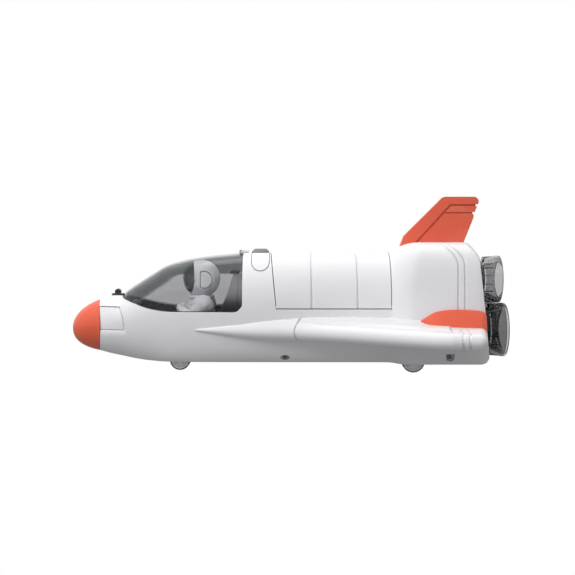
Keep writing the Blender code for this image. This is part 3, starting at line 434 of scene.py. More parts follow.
def canopy_painted_shade_masks(graph):
    """Two masks of painted shade on the canopy's inner face, kept to inner faces not seen from behind: the darkened
    roof and windscreen, and the near-black band along the rim.
    """
    place = graph.node("ShaderNodeSeparateXYZ", Vector=graph.object_space()).outputs
    rise = graph.ramp(place[2], 73.4 * MM, 74.2 * MM)
    slope = 0.71
    low_end = at(58.4, 0, 57.2)
    along = graph.math("SUBTRACT", place[2], graph.math("MULTIPLY", place[0], slope))
    edge = low_end.z - slope * low_end.x
    screen = graph.ramp(along, edge - 1.5 * MM, edge + 1.5 * MM)
    screen = graph.math("MULTIPLY", screen, graph.ramp(place[0], at(90, 0, 0).x, at(82, 0, 0).x))
    # A near-black band of painted shade runs along the rim and climbs towards the front with it.
    rim_end, rim_length, rim_climb, painted_shade_hem = at(82.2, 0, 0).x, 41.2 * MM, 10.3 * MM, 2.3 * MM
    share = graph.math("DIVIDE", graph.math("SUBTRACT", rim_end, place[0]), rim_length, clamp=True)
    climb = graph.math("MULTIPLY", graph.math("POWER", share, 1.75), rim_climb)
    above = graph.math("SUBTRACT", graph.math("SUBTRACT", place[2], RIM_HEIGHT * MM + painted_shade_hem), climb)
    low = graph.ramp(above, 0.4 * MM, -1.6 * MM)
    # Painted shade is kept to inner faces that are not seen from behind, so it darkens the inside of the far wall.
    geometry = graph.node("ShaderNodeNewGeometry").outputs
    outward = graph.node("ShaderNodeVectorMath", {"operation": "SUBTRACT"}, i0=graph.object_space(),
                         i1=at(LENGTH / 2, 0, 48.0)).outputs[0]
    outward = graph.node("ShaderNodeVectorMath", {"operation": "MULTIPLY"}, i0=outward, i1=(0, 1, 1)).outputs[0]
    facing = graph.node("ShaderNodeVectorMath", {"operation": "DOT_PRODUCT"}, i0=outward,
                        i1=geometry["Normal"]).outputs["Value"]
    inner = graph.math("MULTIPLY", graph.math("LESS_THAN", facing, 0.0),
                       graph.math("SUBTRACT", 1.0, geometry["Backfacing"]))
    return (graph.math("MULTIPLY", graph.math("MAXIMUM", rise, screen), inner),
            graph.math("MULTIPLY", low, inner))


def clear_plastic(name, colour, roughness, shadow, ior=1.46, painted_shade_lining=None):
    """A tinted clear wall that lets the light through to what is behind it."""
    made, graph, shader, output = start_material(name)
    links = graph.tree.links
    tone = placed(graph, "tone", Colour=(*colour, 1), Drift=0.03, Specks=0.0)
    shown = tone["Colour"]
    # Painted shade: the inner roof and screen are darkened, and a near-black band runs along the rim.
    if painted_shade_lining is not None:
        roof, painted_shade_hem = canopy_painted_shade_masks(graph)
        shown = graph.mix(roof, shown, (*painted_shade_lining[0], 1))
        shown = graph.mix(painted_shade_hem, shown, (*painted_shade_lining[1], 1))
    wear = placed(graph, "wear", Roughness=roughness, Smears=0.02, Scratches=0.05)
    height = placed(graph, "height", Grain_Scale=900.0, Grain=0.02, Ripple=0.5)["Height"]
    bumped = graph.node("ShaderNodeBump", Strength=1.0, Distance=0.00002, Height=height)
    links.new(shown, shader.inputs["Base Color"])
    links.new(wear["Roughness"], shader.inputs["Roughness"])
    links.new(bumped.outputs[0], shader.inputs["Normal"])
    shader.inputs["Transmission Weight"].default_value = 1.0
    shader.inputs["IOR"].default_value = ior
    open_wall = graph.node("ShaderNodeBsdfTransparent", Color=(*shadow, 1))
    chooser = graph.node("ShaderNodeMixShader")
    links.new(graph.node("ShaderNodeLightPath").outputs["Is Shadow Ray"], chooser.inputs[0])
    links.new(shader.outputs[0], chooser.inputs[1])
    links.new(open_wall.outputs[0], chooser.inputs[2])
    links.new(chooser.outputs[0], output.inputs["Surface"])
    return made


def make_visor_material():
    """The helmet's dark mirror visor."""
    return moulding("visor dark gloss", (0.045, 0.05, 0.053), 0.12, drift=0.2, grain=0.0, ripple=0.4,
                    smears=0.05, dust=0.02, coat=1.0, soften=False)


MATERIALS = {
    "white": lambda c: moulding("white gloss plastic", c.white, 0.42, coat=0.04, corner=(0.86, 0.86, 0.87),
                                specular=0.35),
    "orange": lambda c: moulding("orange plastic", c.orange, 0.42, drift=0.06, coat=0.15,
                                 corner=(0.85, 0.22, 0.13)),
    "charcoal": lambda c: moulding("charcoal plastic", c.charcoal, 0.5, drift=0.18, grain=0.8, dust=0.06,
                                   corner=(0.12, 0.12, 0.13)),
    "black": lambda c: moulding("black plastic", (0.018, 0.018, 0.02), 0.42, drift=0.2, grain=0.6,
                                corner=(0.08, 0.08, 0.08)),
    "grey": lambda c: moulding("grey plastic", c.grey, 0.42, drift=0.08, grain=0.5, corner=(0.42, 0.42, 0.43)),
    "wheel": lambda c: moulding("wheel plastic", c.wheel, 0.4, drift=0.06, grain=0.5, dust=0.08,
                                corner=(0.7, 0.7, 0.71)),
    "suit": lambda c: moulding("suit plastic", c.suit, 0.45, drift=0.06, grain=0.4, dust=0.03,
                               corner=(0.82, 0.82, 0.84)),
    "helmet": lambda c: moulding("helmet plastic", c.helmet, 0.4, drift=0.05, grain=0.3, dust=0.03,
                                 corner=(0.9, 0.9, 0.91)),
    "rubber": lambda c: moulding("tyre rubber", (0.09, 0.09, 0.092), 0.7, drift=0.25, grain=1.4,
                                 grain_scale=1400.0, smears=0.14, dust=0.12, corner=(0.07, 0.068, 0.065)),
    "steel": lambda c: moulding("bright steel", (0.62, 0.62, 0.63), 0.24, drift=0.08, grain=0.3, ripple=0.2,
                                metallic=1.0, smears=0.12, scratches=0.3, dust=0.02),
    # The canopy carries painted shade on its inner roof, its screen and a band along its rim.
    "canopy": lambda c: clear_plastic("canopy clear plastic", c.canopy, 0.02, (1, 1, 1), 1.25,
                                      (c.painted_shade_lining, c.painted_shade_hem)),
    "smoke": lambda c: clear_plastic("smoked clear plastic", c.smoke, 0.04, (0.7, 0.7, 0.71), 1.3),
    # Painted shade: a darker tint of the smoked plastic for the two lower nozzles.
    "shade-painted smoke": lambda c: clear_plastic("smoked plastic with painted shade", c.smoke_painted_shade, 0.04, (0.7, 0.7, 0.71), 1.3),
    # Painted shade: the seat darkens to near black from 62 mm down to 50 mm, for the shade low in the cockpit.
    "seat": lambda c: moulding("seat grey plastic with painted shade below", (0.36, 0.365, 0.37), 0.5, drift=0.12, grain=0.7,
                               foot=(50.0, 62.0, (0.02, 0.02, 0.022))),
    "visor": lambda c: make_visor_material(),
}


def finish_of(key):
    if key not in built_materials:
        built_materials[key] = MATERIALS[key](colours())
    return built_materials[key]


# Mesh tools


def raw(name, bm):
    """Closes a bmesh into an object that has no finish yet."""
    bmesh.ops.remove_doubles(bm, verts=bm.verts, dist=1e-6)
    bmesh.ops.recalc_face_normals(bm, faces=bm.faces)
    mesh = bpy.data.meshes.new(name)
    bm.to_mesh(mesh)
    bm.free()
    made = bpy.data.objects.new(name, mesh)
    bpy.context.scene.collection.objects.link(made)
    return made


def bent_grid(shape, across, along):
    """A grid bent to a shape: shape(u, v) gives the point for u and v from 0 to 1."""
    bm = bmesh.new()
    bmesh.ops.create_grid(bm, x_segments=across, y_segments=along, size=1.0)
    for v in bm.verts:
        v.co = shape((v.co.x + 1) / 2, (v.co.y + 1) / 2)
    return bm


def tube(name, rings):
    """A skin over closed rings of equal counts, with both ends filled."""
    count, last = len(rings[0]), len(rings) - 1
    bm = bent_grid(lambda u, v: rings[round(v * last)][round(u * count) % count], count, last)
    bmesh.ops.remove_doubles(bm, verts=bm.verts, dist=1e-6)
    bmesh.ops.holes_fill(bm, edges=[e for e in bm.edges if e.is_boundary], sides=0)
    return raw(name, bm)


def slab(name, shape, across, along, layers=1):
    """A closed solid from a bent grid: shape(u, v, w) with w from 0, its one face, to 1, the other."""
    bm = bmesh.new()
    bmesh.ops.create_grid(bm, x_segments=across, y_segments=along, size=1.0)
    face_set = bm.faces[:]
    for layer in range(layers):
        grown = bmesh.ops.extrude_face_region(bm, geom=face_set)["geom"]
        if layer:
            bmesh.ops.delete(bm, geom=[f for f in face_set if f.is_valid], context="FACES_ONLY")
        bmesh.ops.translate(bm, verts=[g for g in grown if isinstance(g, bmesh.types.BMVert)],
                            vec=(0, 0, 1 / layers))
        face_set = [g for g in grown if isinstance(g, bmesh.types.BMFace)]
    for v in bm.verts:
        v.co = shape((v.co.x + 1) / 2, (v.co.y + 1) / 2, v.co.z)
    return raw(name, bm)


def prism(name, outline, to_point, low, high, bevel=0.0, segments=3):
    """Extrudes a flat outline from low to high; to_point(a, b, c) gives the frame's point."""
    bm = bmesh.new()
    face = bm.faces.new([bm.verts.new(to_point(a, b, low)) for a, b in outline])
    grown = bmesh.ops.extrude_face_region(bm, geom=[face])["geom"]
    moved = [g for g in grown if isinstance(g, bmesh.types.BMVert)]
    bmesh.ops.translate(bm, verts=moved, vec=to_point(0, 0, high) - to_point(0, 0, low))
    if bevel:
        start, end = to_point(0, 0, low), to_point(0, 0, high)
        axis = (end - start).normalized()
        rims = [e for e in bm.edges if abs((e.verts[0].co - e.verts[1].co).normalized().dot(axis)) < 0.5]
        bmesh.ops.bevel(bm, geom=rims, offset=bevel * MM, segments=segments, profile=0.5, affect="EDGES",
                        material=-1, clamp_overlap=True)
    return raw(name, bm)


def side_prism(name, outline, low, high, bevel=0.0, segments=3):
    return prism(name, outline, lambda s, z, y: at(s, y, z), low, high, bevel, segments)


def plan_prism(name, outline, low, high, bevel=0.0, segments=3):
    return prism(name, outline, at, low, high, bevel, segments)


def box(name, stations, across, heights, bevel=0.0, segments=3):
    """A block, with all its edges rounded where a bevel is given."""
    bm = bmesh.new()
    bmesh.ops.create_cube(bm, size=1.0)
    low = at(stations[0], across[0], heights[0])
    high = at(stations[1], across[1], heights[1])
    bmesh.ops.scale(bm, verts=bm.verts, vec=high - low)
    bmesh.ops.translate(bm, verts=bm.verts, vec=(low + high) / 2)
    if bevel:
        bmesh.ops.bevel(bm, geom=bm.edges[:], offset=bevel * MM, segments=segments, profile=0.5,
                        affect="EDGES", material=-1, clamp_overlap=True)
    return raw(name, bm)


TURNS = {"X": Matrix.Rotation(math.radians(90), 3, "Y"), "Y": Matrix.Rotation(math.radians(-90), 3, "X"),
         "Z": Matrix.Identity(3)}


def turned(name, profile, centre, along, segments=64):
    """Spins a closed (radius, distance) profile round an axis through centre along X, Y or Z."""
    bm = bmesh.new()
    verts = [bm.verts.new((r * MM, 0, d * MM)) for r, d in profile]
    edges = [bm.edges.new((a, b)) for a, b in zip(verts, verts[1:])]
    if profile[0][0] > 0 and profile[-1][0] > 0:
        edges.append(bm.edges.new((verts[-1], verts[0])))
    bmesh.ops.spin(bm, geom=verts + edges, cent=(0, 0, 0), axis=(0, 0, 1), angle=math.tau, steps=segments,
                   use_merge=True, use_duplicate=False)
    bmesh.ops.transform(bm, verts=bm.verts, matrix=Matrix.Translation(centre) @ TURNS[along].to_4x4())
    return raw(name, bm)


def rod(name, radius, centre, along, low, high, segments=32, bevel=0.0):
    profile = [(0, low), (radius - bevel, low), (radius, low + bevel), (radius, high - bevel),
               (radius - bevel, high), (0, high)]
    if not bevel:
        profile = [(0, low), (radius, low), (radius, high), (0, high)]
    return turned(name, profile, centre, along, segments)


def ball(name, centre, radii, segments=64, rings=40):
    bm = bmesh.new()
    bmesh.ops.create_uvsphere(bm, u_segments=segments, v_segments=rings, radius=1.0)
    bmesh.ops.scale(bm, verts=bm.verts, vec=[r * MM for r in radii])
    bmesh.ops.translate(bm, verts=bm.verts, vec=centre)
    return raw(name, bm)


def limb(name, joints, segments=24, steps=6, ends=4):
    """A soft tube through (station, across, height, radius) joints, with domed ends."""
    paths = [Curve(*[(i, joint[k]) for i, joint in enumerate(joints)]) for k in range(4)]
    count = (len(joints) - 1) * steps
    spots = [[path(i / steps) for path in paths] for i in range(count + 1)]
    centres = [at(*spot[:3]) for spot in spots]
    rings = []
    for i, (centre, spot) in enumerate(zip(centres, spots)):
        ahead = (centres[min(i + 1, count)] - centres[max(i - 1, 0)]).normalized()
        turn = ahead.to_track_quat("Z", "Y")
        domes = [(0.0, 1.0)]
        if i in (0, count):
            domes = [(math.cos(math.pi / 2 * k / ends), math.sin(math.pi / 2 * k / ends)) for k in range(ends)]
            domes = [(-d if i == 0 else d, max(w, 0.02)) for d, w in domes]
            domes = domes + [(0.0, 1.0)] if i == 0 else [(0.0, 1.0)] + domes[::-1]
        for push, width in domes:
            middle = centre + ahead * push * spot[3] * MM * 0.8
            rings.append([middle + turn @ Vector((math.cos(a), math.sin(a), 0)) * spot[3] * width * MM
                          for a in (math.tau * k / segments for k in range(segments))])
    return tube(name, rings)


def combine(target, tool, operation, keep_tool=False):
    """Applies one exact Boolean of the tool to the target."""
    step = target.modifiers.new("step", "BOOLEAN")
    step.operation = operation
    step.solver = "EXACT"
    step.object = tool
    graph = bpy.context.evaluated_depsgraph_get()
    graph.update()
    result = bpy.data.meshes.new_from_object(target.evaluated_get(graph))
    target.modifiers.remove(step)
    old = target.data
    target.data = result
    bpy.data.meshes.remove(old)
    if not keep_tool:
        bpy.data.objects.remove(tool)
    return target


def cut(target, tool, keep_tool=False):
    return combine(target, tool, "DIFFERENCE", keep_tool)


def join(target, tool):
    return combine(target, tool, "UNION")


def keep_inside(target, tool, keep_tool=False):
    return combine(target, tool, "INTERSECT", keep_tool)


def gather(target, *others):
    """Merges pieces that lie in or on one another into one mesh."""
    bm = bmesh.new()
    for one in (target, *others):
        bm.from_mesh(one.data)
    bm.to_mesh(target.data)
    bm.free()
    for one in others:
        bpy.data.objects.remove(one)
    return target


def dress(made, finish, body="shuttle", nodes=(), sharp=34.0):
    """Gives a finished mesh its material, its body and the CAD nodes that it stands for."""
    made.data.materials.clear()
    made.data.materials.append(finish_of(finish))
    made.data.shade_smooth()
    made.data.set_sharp_from_angle(angle=math.radians(sharp))
    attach(made, body)
    if nodes:
        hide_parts(*nodes)
    return made


def arc(centre, radius, start, end, steps):
    """Points of an arc, angles in degrees from +station towards +height."""
    return [(centre[0] + radius * math.cos(math.radians(start + (end - start) * i / steps)),
             centre[1] + radius * math.sin(math.radians(start + (end - start) * i / steps)))
            for i in range(steps + 1)]


# The hull's surface


def hull_half_ring(station, grow=0.0):
    """Half of the hull's outline at a station, from the belly's middle up to the roof's middle."""
    half, top = HALF_WIDTH(station) + grow, TOP(station) + grow
    middle, bottom = WIDEST_AT(station), BOTTOM(station) - grow
    flat, power = FLAT_HALF(station) + grow * 0.5, 2 / ROUNDNESS(station)
    right = [(flat * i / RING_FLAT, bottom) for i in range(RING_FLAT)]
    for i in range(RING_LOW):
        t = math.pi / 2 * i / RING_LOW
        right.append((flat + (half - flat) * math.sin(t), middle - (middle - bottom) * math.cos(t)))
    for i in range(RING_HIGH):
        t = math.pi / 2 * i / RING_HIGH
        right.append((half * math.cos(t) ** power, middle + (top - middle) * math.sin(t) ** power))
    return right + [(0.0, top)]


def roof_bend(height):
    """How far forward the rear edge and the ring grooves lie at a height."""
    return max(height - ROOF_BEND, 0) ** 1.6 / ROOF_BEND_LENGTH


def groove_depth_at(station, grooves):
    """How deep the hull is drawn in at a station, where a rounded groove runs round it."""
    depths = [depth * (0.5 + 0.5 * math.cos(math.tau * (station - middle) / width))
              for middle, width, depth in grooves if abs(station - middle) < width / 2]
    return max(depths, default=0.0)


def hull_ring(station, grow=0.0, grooves=(), above=0.0, bent=False):
    outline = hull_half_ring(station, grow)
    if grooves:
        full = hull_half_ring(station, grow - 1.0)
        for i, (o, d) in enumerate(zip(outline, full)):
            if o[1] > above:
                depth = groove_depth_at(station + (roof_bend(o[1]) if bent else 0.0), grooves)
                outline[i] = (o[0] + (d[0] - o[0]) * depth, o[1] + (d[1] - o[1]) * depth)
    left = [(-y, z) for y, z in reversed(outline[1:-1])]
    return [at(station, y, z) for y, z in outline + left]


def hull_stations(low, high, grooves=(), bent=False):
    count = max(1, round((high - low) / HULL_STEP))
    stations = {low + (high - low) * i / count for i in range(count + 1)}
    reach = roof_bend(TOP(300)) if bent else 0.0
    for middle, width, _ in grooves:
        first, last = middle - width / 2 - reach, middle + width / 2
        steps = max(10, round((last - first) / 0.36))
        stations = {s for s in stations if not first - 0.3 < s < last + 0.3}
        stations |= {first + (last - first) * k / steps for k in range(steps + 1)}
    return sorted(s for s in stations if low <= s <= high)


def hull(name, grow=0.0, low=NOSE_JOINT, high=REAR_FACE, grooves=(), above=0.0, bent=False):
    return tube(name, [hull_ring(s, grow, grooves, above, bent)
                       for s in hull_stations(low, high, grooves, bent)])


def hull_side(station, height, side, grow=0.0):
    """The point of the hull's side at a height."""
    half, top = HALF_WIDTH(station), TOP(station)
    middle, bottom = WIDEST_AT(station), BOTTOM(station)
    if height >= middle:
        power = 2 / ROUNDNESS(station)
        rise = min((height - middle) / (top - middle), 1.0) ** (1 / power)
        across = half * math.sqrt(max(1 - rise * rise, 0.0)) ** power
    else:
        drop = min((middle - height) / (middle - bottom), 1.0)
        flat = FLAT_HALF(station)
        across = flat + (half - flat) * math.sqrt(max(1 - drop * drop, 0.0))
    return at(station, side * (across + grow), height)


def canopy_region(gap):
    """Side outline of what the canopy covers, pulled in by a gap on the body's side of the joint."""
    curve = [(s + gap * 0.4, RIM(s) + gap) for s in [CANOPY_FRONT + 2.06 * i for i in range(21)]]
    rear = CANOPY_REAR - gap
    corner = arc((rear - RIM_CORNER, RIM_HEIGHT + gap + RIM_CORNER), RIM_CORNER, -90, 0, 12)
    return [(CANOPY_FRONT + gap, 120.0)] + curve + corner + [(rear, 120.0)]


def door_region(gap):
    lean = (DOOR_FRONT_LOW - DOOR_FRONT_TOP) / (92.9 - DOOR_EDGE)
    low, high = DOOR_LEDGE if gap < 0 else DOOR_EDGE, 120.0
    front = DOOR_FRONT_LOW + gap
    return [(front, low), (DOOR_REAR - gap, low), (DOOR_REAR - gap, high), (front - lean * (high - low), high)]


def tub_outline(inset):
    stops = [TUB_FRONT + inset, 56, 66, 82, 103, 122, TUB_REAR - inset]
    right = [(s, HALF_WIDTH(s) - TUB_INSET - max(0.0, (80.0 - s) * 0.05) - inset) for s in stops]
    return right + [(s, -y) for s, y in reversed(right)]


def nose_joint(name, gap):
    """The space ahead of the nose cone's joint, which is bowed back at both sides."""
    bow = [(NOSE_JOINT + gap + NOSE_BOW * (y / 20.0) ** 2, y) for y in range(-28, 29, 1)]
    return plan_prism(name, bow + [(-10, 28), (-10, -28)], 0, 80)


# Details sunk in the hull
PANEL_DEPTH, PANEL_FRONT = 1.1, 20.0
PANEL_FLOOR = dict(rear_low=44.8, rear_high=40.2, low=32.2, high=49.8)
PANEL_MOUTH = dict(rear_low=46.9, rear_high=42.0, low=28.2, high=50.2)


def panel_rear(form, share):
    """Station of the nose panel's rear edge, from its foot at 0 to its top at 1."""
    return form["rear_low"] + (form["rear_high"] - form["rear_low"]) * share ** 2.2


def nose_panel_cutter(side):
    """A thruster panel beside the nose: flat-bottomed, with a broad slope at its rear and its foot."""
    def shape(u, v, w):
        form = PANEL_MOUTH if w > 0.5 else PANEL_FLOOR
        height = form["low"] + (form["high"] - form["low"]) * v
        station = PANEL_FRONT + (panel_rear(form, v) - PANEL_FRONT) * u
        return hull_side(station, height, side, 0.6 if w > 0.5 else -PANEL_DEPTH)
    return slab("panel", shape, 24, 24)


def skin_groove(path, width, depth, side):
    """A groove cutter that follows a (station, height) path on the hull's side."""
    points = [Vector(point) for point in path]
    last = len(points) - 1

    def shape(u, v, w):
        i = round(v * last)
        ahead = (points[min(i + 1, last)] - points[max(i - 1, 0)]).normalized()
        station, height = points[i] + Vector((-ahead.y, ahead.x)) * width * (u - 0.5)
        return hull_side(station, height, side, 1.0 if w > 0.5 else -depth)
    return slab("skin_groove", shape, 2, last)


def panel_line():
    """The fine line round the nose panel's floor: along the foot, up the rear and back along the top."""
    form = PANEL_FLOOR
    rise = form["high"] - form["low"]
    foot = [(24 + i, form["low"]) for i in range(20)]
    rear = [(panel_rear(form, i / 20) - 0.2, form["low"] + rise * i / 20) for i in range(21)]
    top = [(form["rear_high"] - 1 - i, form["high"]) for i in range(15)]
    return foot + rear + top


def side_pocket(outline, floor, side):
    """A pocket in the bilge, square to the side, for one of the shell's screws."""
    return side_prism("pocket", outline, *sorted((side * floor, side * 60)))


def make_body():
    grooves = RING_GROOVES
    body = hull("shuttle_hull", low=15.0, grooves=grooves, above=36.0, bent=True)
    cut(body, nose_joint("nose_room", 0.0))
    cut(body, side_prism("opening", canopy_region(0.0), -60, 60))
    cut(body, plan_prism("tub_room", tub_outline(-SEAM), TUB_FLOOR - SEAM, 80))
    cut(body, side_prism("door_room", door_region(-0.25), -60, 60))
    cut(body, box("bay", (BAY_FRONT, BAY_REAR), (-BAY_HALF, BAY_HALF), (BAY_FLOOR, 60), 2.0, 4))
    for side, _ in SIDES:
        cut(body, nose_panel_cutter(side))
        cut(body, skin_groove(panel_line(), 0.6, PANEL_DEPTH + 0.9, side))
        cut(body, side_pocket([(169.8 + 3.7 * p, 11.4 + 2.0 * q) for p, q in arc((0, 0), 1, 0, 360, 28)[:-1]],
                              26.6, side))
        shape = [(292.4, 15.4), (299.0, 15.4)] + arc((295.7, 12.9), 3.3, 0, -180, 14)
        cut(body, side_pocket(shape, 38.0, side))
        hole = at(0, side * DOOR_AXIS[0], DOOR_AXIS[1])
        cut(body, rod("hinge_hole", 0.95, hole, "X", DOOR_FRONT_LOW - 3.5, DOOR_REAR + 3.5))
    cut(body, belly_room())
    for wheel in (FRONT_WHEEL, REAR_WHEEL):
        for side, _ in SIDES:
            cut(body, wheel_well(wheel, side))
    join_lugs(body)
    cut(body, pad_form("pad_room", SEAM + 0.25, -2.4, 60))
    cut(body, rear_sweep())
    ring = [at(PLATE_FRONT - SEAM, p.y / MM, p.z / MM) for p in hull_ring(REAR_FACE, -2.2)]
    cut(body, tube("engine_room", [ring, [p + Vector((20 * MM, 0, 0)) for p in ring]]))
    return dress(body, "white", nodes=("body_shell",))


def rear_sweep():
    """Everything behind the hull's rear edge, which runs forward at the shoulders and under the roof."""
    low, high = 8.0, 110.0

    def shape(u, v, w):
        across, height = 120 * (u - 0.5), -5 + (high + 5) * v
        lean = REAR_LEAN * min(abs(across) / REAR_SHOULDER, 1) * max(height - low, 0)
        return at(REAR_FACE + 24 if w > 0.5 else REAR_FACE + 0.4 - lean - roof_bend(height), across, height)
    return slab("rear_sweep", shape, 30, 46)


def hinge_rod(radius, low, high):
    return rod("hinge", radius, at(CANOPY_HINGE[0], 0, CANOPY_HINGE[1]), "Y", low, high, 32)


def join_lugs(body):
    """The two hinge arms that reach forward over the canopy's rear edge."""
    for side, _ in SIDES:
        across = sorted((side * 6.3, side * 9.0))
        lug = hinge_rod(1.4, *across)
        join(lug, box("arm", (CANOPY_HINGE[0], CANOPY_REAR + 4), across, (92.3, 93.7)))
        cut(lug, hinge_rod(0.9, -20, 20))
        join(body, lug)


def wheel_well(wheel, side, clearance=1.0):
    inner, outer = wheel["outer"] - wheel["width"] - clearance, wheel["outer"] + clearance
    reach, s = wheel["radius"] + clearance, wheel["station"]
    return box("well", (s - reach, s + reach), sorted((side * inner, side * outer)),
               (-1.0, 2 * wheel["radius"] + clearance))


BUTTON_CENTRE, PAD_CENTRE, PAD_HALF, PAD_END = 150.3, 150.7, 6.7, 85.3


def pad_form(name, gap, low, high, steps=20):
    """The strap over the roof: a layer of the hull inside a round-ended side outline."""
    half = PAD_HALF + gap
    outline = [(PAD_CENTRE + half, 130.0)] + arc((PAD_CENTRE, PAD_END), half, 0, -180, steps)
    region = side_prism(name, outline + [(PAD_CENTRE - half, 130.0)], -60, 60)
    if high < 20:
        keep_inside(region, hull("outer", high, 138, 164))
    cut(region, hull("inner", low, 130, 170))
    return region


def make_roof():
    pad = pad_form("roof_pad_strap", 0.0, -2.1, 0.5)
    cut(pad, box("crown", (PAD_CENTRE - 9, PAD_CENTRE + 9), (-16, 16), (91.7, 99)))
    cut(pad, rod("button_room", 7.1, at(BUTTON_CENTRE, 0, 0), "Z", 91.2, 120, 64))
    dress(pad, "white", nodes=("roof_pad",))
    radius, base, top = 6.8, 91.3, 95.0
    profile = [(0, base), (radius, base), (radius, 92.6), (radius - 0.5, 93.4), (radius - 1.6, 94.6),
               (radius - 2.2, top), (radius - 2.8, top - 0.1), (radius - 3.3, top - 0.35), (0, top - 0.5)]
    button = turned("push_button", profile, at(BUTTON_CENTRE, 0, 0), "Z", 96)
    dress(button, "grey", nodes=("sound_button",), sharp=28)


def make_nose():
    """The nose cone: an egg-shaped cap, fuller above than below."""
    middle = 34.45
    base = [(p.y / MM, p.z / MM) for p in hull_ring(NOSE_JOINT)]
    rings, count = [], 36
    for i in range(count + 1):
        f = (i / count) ** 2
        reach, blunt = math.sqrt(max(1 - (1 - f) ** 2, 0.0)), f ** 0.42
        above, below = 0.45 * reach + 0.55 * blunt, 0.25 * reach + 0.75 * blunt
        aside = 0.5 * reach + 0.5 * blunt
        rise = middle - 2.6 * (1 - f)
        rings.append([at(f * NOSE_JOINT, y * aside, rise + (z - middle) * (above if z > middle else below))
                      for y, z in base])
    rings += [hull_ring(s) for s in (24.3, 26.5, 31, 36)]
    cone = tube("nose_cap", rings)
    keep_inside(cone, nose_joint("joint", -SEAM))
    dress(cone, "orange", nodes=("nose_cone",))


class SHUTTLE_OT_hull(bpy.types.Operator):
    """Builds the hull with its openings, the nose cap, the roof strap and the push button"""

    bl_idname = "shuttle.hull"
    bl_label = "Hull and Nose"

    def execute(self, context):
        make_body()
        make_nose()
        make_roof()
        return {"FINISHED"}


class SHUTTLE_OT_canopy(bpy.types.Operator):
    """Builds the clear canopy, its lift knob and its hinge"""

    bl_idname = "shuttle.canopy"
    bl_label = "Canopy"

    def execute(self, context):
        wall = sizes().canopy_wall / MM
        canopy = hull("canopy_shell", 0.0, CANOPY_FRONT - 2, CANOPY_REAR + 2)
        keep_inside(canopy, side_prism("region", canopy_region(SEAM), -60, 60))
        cut(canopy, hull("hollow", -wall, CANOPY_FRONT - 3, CANOPY_REAR + 3))
        axis_station, axis_height = CANOPY_HINGE
        join(canopy, box("bridge", (axis_station - 1.2, axis_station + 1.2), (-5.8, 5.8), (90.4, axis_height)))
        for side, _ in SIDES:
            across = sorted((side * 6.0, side * 9.6))
            room = hinge_rod(1.8, *across)
            join(room, box("arm_room", (axis_station, CANOPY_REAR + 4), across,
                           (axis_height - 1.1, axis_height + 4)))
            cut(canopy, room)
        join(canopy, hinge_rod(1.4, -6.0, 6.0))
        cut(canopy, hinge_rod(0.9, -10, 10))
        dress(canopy, "canopy", "canopy", ("canopy",), sharp=40)
        tongue = box("canopy_lift_tongue", (31.5, 42.5), (-4.0, 4.0), (58.3, 59.3), 0.3, 3)
        knob = turned("knob", [(0, -3), (1.9, -3), (2.3, -2.6), (2.3, 2.6), (1.9, 3), (0, 3)],
                      at(36.2, 0, 60.7), "Y", 48)
        dress(tongue, "black", "canopy", ())
        dress(knob, "black", "canopy", ()).name = "canopy_lift_knob"
        pin = rod("canopy_pin", 0.65, at(axis_station, 0, axis_height), "Y", -8.8, 8.8, 32, 0.15)
        dress(pin, "steel", nodes=("canopy_hinge_pin",))
        return {"FINISHED"}


# Cockpit


def make_tub():
    tub = plan_prism("cockpit_liner", tub_outline(0.0), TUB_FLOOR, 80)
    cut(tub, plan_prism("inside", tub_outline(TUB_WALL), TUB_FLOOR + TUB_WALL, 90))
    above = side_prism("above", canopy_region(-0.5), -60, 60)
    cut(above, hull("canopy_room", -1.5, CANOPY_FRONT - 4, CANOPY_REAR + 4))
    cut(tub, above)
    rim = [(s, z - SEAM) for s, z in canopy_region(0.0)[1:-1]]
    cut(tub, side_prism("rim", [(rim[0][0], 120)] + rim + [(TUB_REAR + 4, rim[-3][1]), (TUB_REAR + 4, 120)],
                        -60, 60))
    parts = [box("rib", (s, s + 1.4), (-29.5, 29.5), (25.4, 26.1), 0.25) for s in range(84, 130, 9)]
    parts += make_gasket()
    for side, _ in SIDES:
        parts.append(box("ledge", (84, 128), sorted((side * 26.0, side * 31.0)), (25.4, 33.0), 0.8))
        for i in range(4):
            parts.append(rod("knob", 1.5, at(90 + i * 8, side * 28.4, 0), "Z", 32.8, 34.4, 24, 0.3))
    dress(gather(tub, *parts), "charcoal", nodes=("cockpit_tub",))


def make_gasket():
    """The dark lip that covers the ledge between the cockpit and the hull's skin."""
    strips = []
    for side, _ in SIDES:
        def shape(u, v, w):
            station = 42.2 + (TUB_REAR - 42.2) * u
            height = RIM(station)
            outer = abs(hull_side(station, height, side).y) / MM - 1.8
            taper = max(0.0, (80.0 - station) * 0.05)
            inner = HALF_WIDTH(station) - TUB_INSET - taper - TUB_WALL if station > TUB_FRONT else 0.0
            return at(station, side * (inner + (outer - inner) * v), height + 0.04 + 0.5 * w)
        strips.append(slab("gasket", shape, 92, 6))
    return strips


